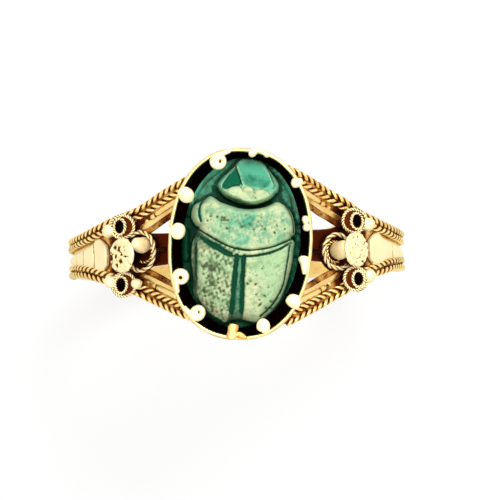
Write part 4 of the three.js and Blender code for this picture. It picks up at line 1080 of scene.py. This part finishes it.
makeScarab(scarabForm, {
    "plinthGreen": 0.75, "plinthPatches": 0.8, "plinthStain": 0.55, "wear": 0.35, "leftStain": 0.46,
    "rightStain": 0.1, "seed": 7,
    # middle x, y and spread x, y; sizes; count
    "pits": [
        ((-1.75, -1.7, 0.4, 0.4), (0.07, 0.17), 16), ((-1.2, -3.3, 0.6, 0.9), (0.04, 0.11), 24),
        ((1.3, -1.9, 0.6, 0.8), (0.04, 0.1), 18), ((1.3, -3.5, 0.5, 0.6), (0.04, 0.11), 12),
        ((-1.6, 1.1, 0.4, 0.35), (0.05, 0.13), 6), ((-0.9, 0.7, 0.35, 0.3), (0.05, 0.14), 7),
        ((1.2, 1.0, 0.5, 0.35), (0.03, 0.1), 12), ((0.3, 3.8, 0.8, 0.7), (0.03, 0.06), 8)],
})
print("scarab made")


# wires of the forked arms and of the hoop's edges
armForm = {
    "inset": {"outer": 0.2, "inner": 0.63, "plain": 1.06, "thin": 1.39}, "thinDrift": 0.2, "plain": 0.2,
    "thin": 0.1, "plainEnd": 39.5, "thinEnd": 36.4, "plainSink": 0.35, "thinSink": 0.25, "solder": 0.13,
    "braid": 0.23,
}


def outsideCollet(points, out):
    # the run without what lies inside the collet's wall
    level = turned(points, -bezel["turn"])
    reach = 2 / bezel["fullness"]
    away = np.abs(level[:, 0] / (bezel["halfWidth"] + out)) ** reach
    away = away + np.abs(level[:, 1] / (bezel["halfLength"] + out)) ** reach
    return points[np.argmax(away > 1):]


def edgeRun(side, flank, endAngle, inset, lift, drift=0.0, sink=0.0, out=-0.05):
    # the outline of arm and hoop, drawn in from the edge, raised off the face and let down
    # near its end; the arms' own spread and shift fade out towards the plate
    share = np.linspace(0, 1, 900)
    angle = np.linspace(hoop["armStart"], endAngle, len(share))
    arm = 1 - smooth(*hoop["armFade"], angle)
    spread = flank * (halfWidthAt(angle) + side["bulge"] * arm)
    outline = shellPoint(side["sign"], angle, spread + side["shift"] * arm)
    across, up = framesAlong(outline, awayFromFinger(outline))
    inward = -side["sign"] * flank * (inset + drift * share)
    run = outline + across * inward[:, None] + up * (lift - sink * share**4)[:, None]
    return outsideCollet(run, out)


def makeBraid(side, flank, label, look):
    # two twisted wires side by side, of opposite hands
    for name, hand in (("outer", 1), ("inner", -1)):
        run = edgeRun(side, flank, hoop["wireEnd"], armForm["inset"][name], armForm["braid"] - look["drop"])
        run = handWork(run, look["wobble"], 2.6, seedOf(label, name))
        strands = twistedWire(run, awayFromFinger, look["braid"], hand=hand * side["sign"] * flank)
        makePiece(f"edgeTwist_{name}_{label}", strands, braided, [f"edge_wire_{name}_{label}"])


def makeRod(side, flank, label, look):
    # the plain wire, which breaks up into worn beads as it nears the shoulder
    run = edgeRun(side, flank, armForm["plainEnd"], armForm["inset"]["plain"], armForm["plain"] + hoop["gap"],
                  sink=armForm["plainSink"], out=-0.03)
    run = resampled(run, 0.12)[0]
    share = np.linspace(0, 1, len(run))
    swell = (0.5 - 0.5 * np.cos(share * fullTurn * look["beads"])) ** 3
    beads = 1 - look["beadDepth"] * smooth(0.35, 0.8, share) * swell
    thick = armForm["plain"] * beads * smooth(-0.02, 0.03, 1 - share + 0.01) ** 0.5
    run = handWork(run, look["wobble"], 2.0, seedOf(label, "plain"))
    around = np.arange(14) * fullTurn / 14
    # painted shade underneath and in the narrow dips between the beads
    paintedShade = np.maximum(smooth(0.15, -0.8, np.sin(around))[None, :], smooth(0.93, 0.7, beads)[:, None])
    rod = tube(run, np.maximum(thick, 0.05), awayFromFinger(run), len(around), recess=paintedShade)
    makePiece(f"armRod_{label}", [rod], polished, [f"arm_wire_{label}"])


def makeThread(side, flank, label, look):
    # the thin wire, with the solder that lies low between all four, painted dark as shade
    fillets = []
    for inset, drift, end, sink, half, paintedShade in look["fillets"]:
        seam = edgeRun(side, flank, end, inset, armForm["solder"] + hoop["gap"], drift, sink)
        seam = resampled(handWork(seam, look["wobble"], 1.2, seedOf(label, "solder")), 0.15)[0]
        # painted shade as told, uneven, and most where the arm runs in under the rings
        around = np.degrees(np.arctan2(np.abs(seam[:, :1]), seam[:, 2:]))
        paintedShade = paintedShade + 0.22 * waves(seam[:, :1], seam[:, 1:2], 0.9, seedOf(label))
        paintedShade = paintedShade + 0.6 * smooth(34, 39, around)
        flat = look["filletRise"] / half
        fillets.append(tube(seam, half, awayFromFinger(seam), 10, flat=flat, recess=paintedShade))
    run = edgeRun(side, flank, armForm["thinEnd"], armForm["inset"]["thin"], armForm["thin"] + hoop["gap"],
                  armForm["thinDrift"], armForm["thinSink"])
    run = handWork(resampled(run, 0.1)[0], look["wobble"], 2.0, seedOf(label, "thin"))
    thread = tube(run, armForm["thin"], awayFromFinger(run), 12)
    makePiece(f"armThread_{label}", [thread, *fillets], polished, [f"inner_wire_{label}"])


armLook = {
    "wobble": 0.018, "drop": 0.025, "beads": 6, "beadDepth": 0.5, "filletRise": 0.09,
    "braid": {
        "radius": 0.21, "lay": 2.5, "strandShare": 0.57, "crest": -0.12, "stepsPerTurn": 16, "corners": 10},
    # inset, drift, end angle, sink, half width and painted shade
    "fillets": [
        (0.415, 0.0, hoop["plateFull"], 0.0, 0.18, 0.65), (0.85, 0.0, 46.0, 0.12, 0.3, 0.66),
        (1.27, 0.08, 44.5, 0.2, 0.26, 0.2), (1.5, 0.22, 45.0, 0.1, 0.2, 0.66)],
}
for sideName, side in sides.items():
    for flankName, flank in flanks.items():
        for makeWires in (makeBraid, makeRod, makeThread):
            makeWires(side, flank, f"{sideName}_{flankName}", armLook)
print("arm and edge wires made")


# clusters on the shoulders
cluster = {
    "loopAngle": hoop["nearLoop"], "baseRing": (hoop["baseRing"], 0.11), "nearLoop": (1.0, 0.14),
    "innerLoop": (0.64, 0.1), "sideAngle": 41.2, "sideOffset": 1.63, "sideHalf": (0.74, 0.64),
    "sideLean": -14, "sideLift": 0.76, "rosetteAngle": 40.6, "rosette": 1.1, "rosetteLean": 8,
    "rosetteLift": 1.06, "disc": 0.16, "collar": 0.57, "domeAngle": 35.8, "domeHeight": 0.92,
    "cornerAngle": 48.4, "cornerOffset": 1.55, "corner": 0.37, "joinAngle": 36.3,
    "joinOffset": -2.04, "join": 0.31, "edgeTop": 0.46, "stub": 0.15,
}


def ringRun(halfLength, halfWidth, openAngle=0.0, facing=0.0, count=400):
    # a flat oval, whole or with a gap that faces one way
    if openAngle:
        angle = facing + np.linspace(openAngle, fullTurn - openAngle, count)
    else:
        angle = np.arange(count) * fullTurn / count
    return np.stack([halfLength * np.cos(angle), halfWidth * np.sin(angle), 0 * angle], 1)


def collarAngle(radius, wireRadius):
    # half the gap that the rosette's collar takes out of a ring
    apart = (cluster["rosetteAngle"] - cluster["loopAngle"]) * degree
    apart = float(shellRadiusAt(cluster["rosetteAngle"])) * apart
    keep = cluster["collar"] + wireRadius + 2 * hoop["gap"]
    return math.acos((radius**2 + apart**2 - keep**2) / (2 * radius * apart))


def makeLoops(sideName, side, look):
    # two rings of twisted wire, one in the other, and a plain ring under the wider one, painted dark as shade
    for name, key, nodeName, material in (
            ("nearTwist", "nearLoop", "near_loop", beaded),
            ("innerTwist", "innerLoop", "inner_loop", braided)):
        radius, thick = cluster[key]
        scale = look["nearScale"][sideName] if key == "nearLoop" else (1, 1)
        run = ringRun(radius * scale[0], radius * scale[1], collarAngle(radius, thick), side["toRosette"])
        run = handWork(run, look["loopWobble"], 1.4, seedOf(sideName, key))
        strands = twistedWire(run, upright, {"radius": thick, **look[key]})
        foot = 2 * hoop["gap"] + 2 * cluster["baseRing"][1] if key == "nearLoop" else 0
        seat = seatAt(side["sign"], cluster["loopAngle"], side["loop"], foot + hoop["gap"] + thick)
        makePiece(f"{name}_{sideName}", placed(strands, seat), material, [f"{nodeName}_{sideName}"])
    radius, thick = cluster["baseRing"]
    run = ringRun(radius, radius, collarAngle(radius, thick), side["toRosette"], 90)
    ring = tube(handWork(run, 0.012, 1.5, 31), thick, upright, 12, recess=look["shade"])
    seat = seatAt(side["sign"], cluster["loopAngle"], side["loop"], 2 * hoop["gap"] + thick)
    makePiece(f"baseWire_{sideName}", placed([ring], seat), shadowed, [f"base_ring_{sideName}"])


def makeStub(sideName, side, look):
    # the stub lies on the tongue between the rings and the collet
    reach = cluster["baseRing"][0] + cluster["baseRing"][1] + 2 * hoop["gap"]
    start = cluster["loopAngle"] - math.asin(reach / float(shellRadiusAt(cluster["loopAngle"]))) / degree
    inside = math.asin((bezel["halfWidth"] - bezel["wall"]) / float(shellRadiusAt(start))) / degree
    angle = np.linspace(start, inside, 30)[::-1]
    run = outsideCollet(shellPoint(side["sign"], angle, side["loop"], hoop["gap"] + cluster["stub"]), -0.03)
    stub = tube(run, cluster["stub"], awayFromFinger(run), 12, recess=look["shade"])
    makePiece(f"stubWire_{sideName}", [stub], shadowed, [f"stub_{sideName}"])


def makeDomeGrain(sideName, side, look):
    # melted grains have slumped: rounder at the side, flatter on top
    dome = ball(1, 1, 17, 34, recess=look["domeHighlight"][sideName])
    x, y, z = dome["points"].T
    middle = np.clip(np.hypot(x, y), 0, 1)
    z[:] = np.sign(z) * (1 - middle**2.4) ** (1 / 2.4)
    size = [*look["domeHalf"][sideName], cluster["domeHeight"]]
    dome["points"] = handWork(dome["points"] * size, 0.05, 1.3, 41 + side["sign"])
    seat = seatAt(side["sign"], cluster["domeAngle"], side["grain"], hoop["gap"] + cluster["domeHeight"] / 2)
    dome = shifted(dome, [*look["domeShift"][sideName], 0])
    makePiece(f"domeGrain_{sideName}", placed([dome], seat), beaded, [f"dome_grain_{sideName}"])


def makeRosettePost(sideName, side):
    # a waisted collar under the rosette
    height = cluster["rosetteLift"] - 2 * hoop["gap"]
    height = height - cluster["rosette"] * math.sin(cluster["rosetteLean"] * degree) / 2
    turn = np.arange(36) * fullTurn / 36
    level = np.array([0.0, 0.0, 0.03, 0.3, 0.6, 0.97, 1.0, 1.0])[:, None] * height
    out = np.array([0.3, 0.92, 1.0, 0.93, 0.93, 1.0, 0.92, 0.3])[:, None] * cluster["collar"]
    grid = np.stack(np.broadcast_arrays(out * np.cos(turn), out * np.sin(turn), level), -1)
    seat = seatAt(side["sign"], cluster["rosetteAngle"], side["cluster"], hoop["gap"])
    # the collar is dark all over as painted shade under the rosette
    makePiece(f"rosettePost_{sideName}", placed([shell(grid, 0.9)], seat), shadowed,
              [f"rosette_collar_{sideName}"])


def makeRosette(sideName, side, look):
    # a disc of melted grains: soft bumps in rings that run together, with pits left between them
    seed = 60 + side["sign"]
    source = np.random.default_rng(seed)
    turn = np.arange(120)[None, :] * fullTurn / 120
    share = np.linspace(0.01, 1, 46)[:, None]
    edge = cluster["rosette"] * (0.985 + 0.015 * np.sin(5 * turn + 1) - 0.03 * np.abs(np.sin(9 * turn)))
    x, y = share * edge * np.cos(turn), share * edge * np.sin(turn)
    bumps = 0 * x
    for reach, count in look["rows"]:
        for k in range(count):
            angle = fullTurn * (k + source.uniform(-0.2, 0.2)) / count + reach
            at = reach * source.uniform(0.93, 1.03)
            near = (x - at * math.cos(angle)) ** 2 + (y - at * math.sin(angle)) ** 2
            bumps = np.maximum(bumps, np.sqrt(np.clip(1 - near / source.uniform(0.15, 0.21) ** 2, 0, 1)))
    rise = cluster["disc"] + 0.07 * (1 - share**2) + look["relief"] * bumps + 0.03 * waves(x, y, 0.5, seed)
    fade = np.sqrt(np.clip((1 - share) / 0.1, 0, 1))
    pits = smooth(0.32, 0.05, bumps) * smooth(0.05, 0.6, 0.5 + waves(x, y, 0.9, seed + 5)) * fade
    for pitX, pitY, reach in look["holes"][sideName]:
        pits = np.maximum(pits, smooth(reach, reach * 0.4, np.hypot(x - pitX, y - pitY)))
    top = np.stack([x, y, rise * (0.35 + 0.65 * fade) - 0.1 * pits], -1)
    rim = np.array([1.0, 0.96, 0.2])[:, None] * edge
    under = np.stack(np.broadcast_arrays(
        rim * np.cos(turn), rim * np.sin(turn), np.array([0.03, 0.0, 0.0])[:, None]), -1)
    grid = np.concatenate([top, under])[::-1]
    # painted shade in the pits and underneath
    paintedShade = np.concatenate([pits, np.full((3, 120), 0.9)])[::-1]
    seat = seatAt(side["sign"], cluster["rosetteAngle"], side["cluster"], cluster["rosetteLift"],
                  cluster["rosetteLean"])
    makePiece(f"rosetteGrains_{sideName}", placed([shell(grid, paintedShade)], seat), beaded,
              [f"rosette_{sideName}"])


def makeSideLoop(side, flank, label, look):
    # two loops of twisted wire, one inside the other, filled with solder painted dark as shade, over a disc
    # painted black as the shade in the hole
    halfLength, halfWidth = cluster["sideHalf"]
    inward = side["sign"] * look["innerShift"]
    shells = []
    outerHalf = (halfLength + 0.05, halfWidth + 0.05)
    for half, shift, hand in ((outerHalf, 0.0, 1), (look["innerHalf"], inward, -1)):
        run = handWork(ringRun(*half) + [shift, 0, 0], 0.02, 1.2, seedOf(label))
        shells += twistedWire(run, upright, look["sideLoop"], closed=True, hand=hand)
    run = ringRun(*look["fillHalf"]) + [inward / 2, 0, -0.03]
    shells.append(tube(run[::6], 0.2, upright, 10, flat=0.4, closed=True, recess=1.1))
    # a flat disc under the loops, painted black as the shade in the hole
    floor = ball(look["shadeDiscSize"], look["shadeDiscTall"], 9, 24, recess=1.3)
    shells.append(shifted(floor, [inward, 0, -look["shadeDiscTall"]]))
    along, aside = look["loopShift"]
    shells = [shifted(skin, [side["sign"] * along, flank * aside, 0]) for skin in shells]
    seat = seatAt(side["sign"], cluster["sideAngle"], side["cluster"] + flank * cluster["sideOffset"],
                  cluster["sideLift"], cluster["sideLean"])
    makePiece(f"sideTwist_{label}", placed(shells, seat), beaded, [f"side_loop_{label}"])


def makeCornerGrain(side, flank, label, shift, look):
    # a single melted grain at each far corner of a cluster
    size = look["cornerSize"]
    grain = ball(size, 2 * size, 13, 26, 0.04, seedOf(label, "grain"))
    seat = seatAt(side["sign"], cluster["cornerAngle"], side["cluster"] + flank * cluster["cornerOffset"],
                  cluster["edgeTop"] + cluster["corner"])
    grain = shifted(grain, [-side["sign"] * shift, 0, 0])
    makePiece(f"cornerGrain_{label}", placed([grain], seat), beaded, [f"corner_grain_{label}"])


clusterLook = {
    # pits in the rosette: x, y and reach, and its rings of grains: radius and count
    "holes": {
        "right": [(-0.25, 0.3, 0.1), (0.2, -0.35, 0.09)],
        "left": [
            (-0.15, 0.4, 0.24), (-0.42, -0.05, 0.22), (0.0, -0.35, 0.22), (-0.5, 0.5, 0.2),
            (-0.35, -0.6, 0.2), (-0.9, -0.1, 0.3), (0.1, 0.05, 0.14)]},
    "rows": [(0.0, 1), (0.36, 6), (0.68, 12), (0.97, 18)], "relief": 0.055,
    "nearLoop": {"lay": 3.4, "strandShare": 0.58, "crest": -0.75, "stepsPerTurn": 14, "corners": 9},
    "innerLoop": {"lay": 2.3, "strandShare": 0.58, "crest": -0.1, "stepsPerTurn": 14, "corners": 9},
    "nearScale": {"right": (1.05, 1.05), "left": (1.05, 1.16)}, "loopWobble": 0.03, "shade": 0.85,
    # a mark under nought is a painted highlight, paler than the gold
    "domeHighlight": {"right": -0.7, "left": -0.35},
    "domeHalf": {"right": (0.42, 0.57), "left": (0.47, 0.48)},
    "domeShift": {"right": (0.2, 0.0), "left": (0.1, 0.2)},
    "sideLoop": {
        "radius": 0.1, "lay": 1.9, "strandShare": 0.6, "crest": -0.3, "stepsPerTurn": 12, "corners": 9},
    "innerHalf": (0.4, 0.5), "innerShift": 0.19, "fillHalf": (0.6, 0.58), "shadeDiscSize": 0.46, "shadeDiscTall": 0.1,
    "loopShift": (0.12, 0.12), "cornerSize": 0.41, "cornerShift": {"right": 0.18, "left": 0.26},
}
for sideName, side in sides.items():
    makeLoops(sideName, side, clusterLook)
    makeStub(sideName, side, clusterLook)
    makeDomeGrain(sideName, side, clusterLook)
    makeRosettePost(sideName, side)
    makeRosette(sideName, side, clusterLook)
    for flankName, flank in flanks.items():
        label = f"{sideName}_{flankName}"
        makeSideLoop(side, flank, label, clusterLook)
        makeCornerGrain(side, flank, label, clusterLook["cornerShift"][sideName], clusterLook)
joinGrain = ball(cluster["join"], 2 * cluster["join"], 13, 26, 0.03, 77)
joinLift = cluster["edgeTop"] + cluster["join"] + 0.08
joinSeat = seatAt(-1, cluster["joinAngle"], cluster["joinOffset"], joinLift)
makePiece("joinGrain_left_lower", placed([joinGrain], joinSeat), beaded, ["join_grain_left_lower"])
print("clusters made")


# leaves on the hoop behind the clusters
leafForm = {
    "start": hoop["leafStart"], "end": hoop["leafEnd"], "halfWidth": 1.02, "thickness": 0.3, "shift": -0.18,
    # share of the length, and share of the half width
    "outline": [
        (0, 0.5), (0.04, 0.74), (0.1, 1.0), (0.16, 1.08), (0.2, 0.94), (0.25, 0.76), (0.5, 0.47), (0.8, 0.32),
        (1, 0.06)],
}


def makeLeaf(sideName, side, look):
    # a domed plate along the hoop: each row is an arch over the leaf's width, with lines cut across
    rows, cols = 150, 40
    share = np.linspace(0, 1, rows)
    angle = mixed(leafForm["start"], leafForm["end"], share)
    spine = shellPoint(side["sign"], angle, leafForm["shift"], hoop["gap"])
    across, up = framesAlong(spine, awayFromFinger(spine))
    width = leafForm["halfWidth"] * throughPoints(leafForm["outline"])(share)[:, None]
    share = share[:, None]
    ease = np.sqrt(np.clip(np.minimum(share / 0.012, (1 - share) / 0.02), 0, 1))
    turn = np.arange(cols) * fullTurn / cols
    aside, lift = np.cos(turn), np.sin(turn)
    # a superellipse above and a flat foot below
    out = np.sign(aside) * np.abs(aside) ** 0.8 * width * ease
    rise = np.where(lift > 0, 0.25 + 0.75 * np.abs(lift) ** 0.9, 0.12 - 0.12 * np.abs(lift) ** 0.3)
    level = leafForm["thickness"] * (np.maximum(rise, 0) * (0.35 + 0.65 * ease))
    # the middle of each line bows towards the bezel
    length = (leafForm["end"] - leafForm["start"]) * degree * look["lineRadius"]
    cuts = 0
    for at, bow in look["lines"][sideName]:
        line = at * length - bow * (1 - (out / (width + 0.01)) ** 2)
        cuts = np.maximum(cuts, np.exp(-(((share * length - line) / 0.07) ** 2)))
    cuts = cuts * (lift > 0.1)
    grid = spine[:, None] + across[:, None] * out[..., None] + up[:, None] * level[..., None]
    grid = grid - up[:, None] * (0.1 * cuts)[..., None]
    # painted shade in the cut lines and along the foot
    paintedShade = np.maximum(cuts * 0.9, smooth(0.12, -0.4, lift))
    makePiece(f"shoulderLeaf_{sideName}", [shell(handWork(grid, 0.012, 2.0, 90), paintedShade)], beaded,
              [f"leaf_{sideName}"])


# lines across the leaves: share of the length and bow
leafLook = {"lineRadius": 10, "lines": {
    "left": [(0.22, 0.22), (0.42, 0.18), (0.6, 0.12), (0.78, 0.08)],
    "right": [(0.45, 0.2), (0.66, 0.12)],
}}
for sideName, side in sides.items():
    makeLeaf(sideName, side, leafLook)
print("leaves made")


def makeFloor(look):
    # a white table, which is the backdrop too
    material = bpy.data.materials.new("whiteTable")
    tree = emptyTree(material)
    paper = node(tree, "ShaderNodeBsdfDiffuse")
    paper.inputs["Color"].default_value = (look["tone"], look["tone"], look["tone"], 1)
    # seen and mirrored it is mostly plain white, so that the shadow stays faint
    white = node(tree, "ShaderNodeEmission")
    white.inputs["Strength"].default_value = 1.0
    both = node(tree, "ShaderNodeMixShader")
    wire(tree, sums(tree, "MULTIPLY", seenRays(tree), look["seenWhite"]), both.inputs["Fac"])
    wire(tree, paper.outputs["BSDF"], both.inputs[1])
    wire(tree, white.outputs["Emission"], both.inputs[2])
    wire(tree, both.outputs["Shader"], node(tree, "ShaderNodeOutputMaterial").inputs["Surface"])
    mesh = bpy.data.meshes.new("table")
    reach = look["reach"] * mm
    corners = [(-reach, -reach), (reach, -reach), (reach, reach), (-reach, reach)]
    mesh.from_pydata([(x, y, look["level"] * mm) for x, y in corners], [], [(0, 1, 2, 3)])
    mesh.materials.append(material)
    table = bpy.data.objects.new("table", mesh)
    bpy.context.scene.collection.objects.link(table)


makeFloor({"tone": 0.95, "seenWhite": 0.75, "reach": 400, "level": cadBox[0].z / mm - 0.02})


def makeCamera(look):
    # looks straight at the aim point from a little below the bezel's axis
    away = Vector(look["from"]).normalized()
    up = Vector(look["up"])
    up = (up - up.dot(away) * away).normalized()
    right = up.cross(away)
    data = bpy.data.cameras.new("camera")
    data.sensor_width = 36
    data.lens = data.sensor_width / 2 * look["distance"] / look["halfField"]
    data.clip_start, data.clip_end = 0.01, 10
    camera = bpy.data.objects.new("camera", data)
    place = (Vector(look["aim"]) + away * look["distance"]) * mm
    camera.matrix_world = Matrix.Translation(place) @ Matrix((right, up, away)).transposed().to_4x4()
    bpy.context.scene.collection.objects.link(camera)
    bpy.context.scene.camera = camera


makeCamera({
    "from": (-0.023, -0.0585, 1), "up": (0.0253, 0.9997, 0), "aim": (0.8455, 0.3257, 0), "distance": 280,
    "halfField": 15.51,
})


def makeLamp(name, place, size, power):
    # a soft square lamp that faces the ring
    data = bpy.data.lights.new(name, "AREA")
    data.size = size * mm
    data.energy = power
    lamp = bpy.data.objects.new(name, data)
    lamp.location = Vector(place) * mm
    lamp.rotation_euler = (-Vector(place)).to_track_quat("-Z", "Y").to_euler()
    bpy.context.scene.collection.objects.link(lamp)


makeLamp("keyLamp", (90, 150, 260), 130, 0.5)
makeLamp("overheadLamp", (-30, -20, 300), 260, 0.5)


def makeWorld(look):
    # white as seen and as mirrored, softer as light
    world = bpy.data.worlds.new("studio")
    bpy.context.scene.world = world
    tree = emptyTree(world)
    sky = node(tree, "ShaderNodeBackground")
    sky.inputs["Color"].default_value = (1, 1, 1, 1)
    wire(tree, sums(tree, "MAXIMUM", seenRays(tree), look["light"]), sky.inputs["Strength"])
    wire(tree, sky.outputs["Background"], node(tree, "ShaderNodeOutputWorld").inputs["Surface"])


makeWorld({"light": 0.5})
bpy.context.scene.view_settings.view_transform = "Standard"
print("stage set")
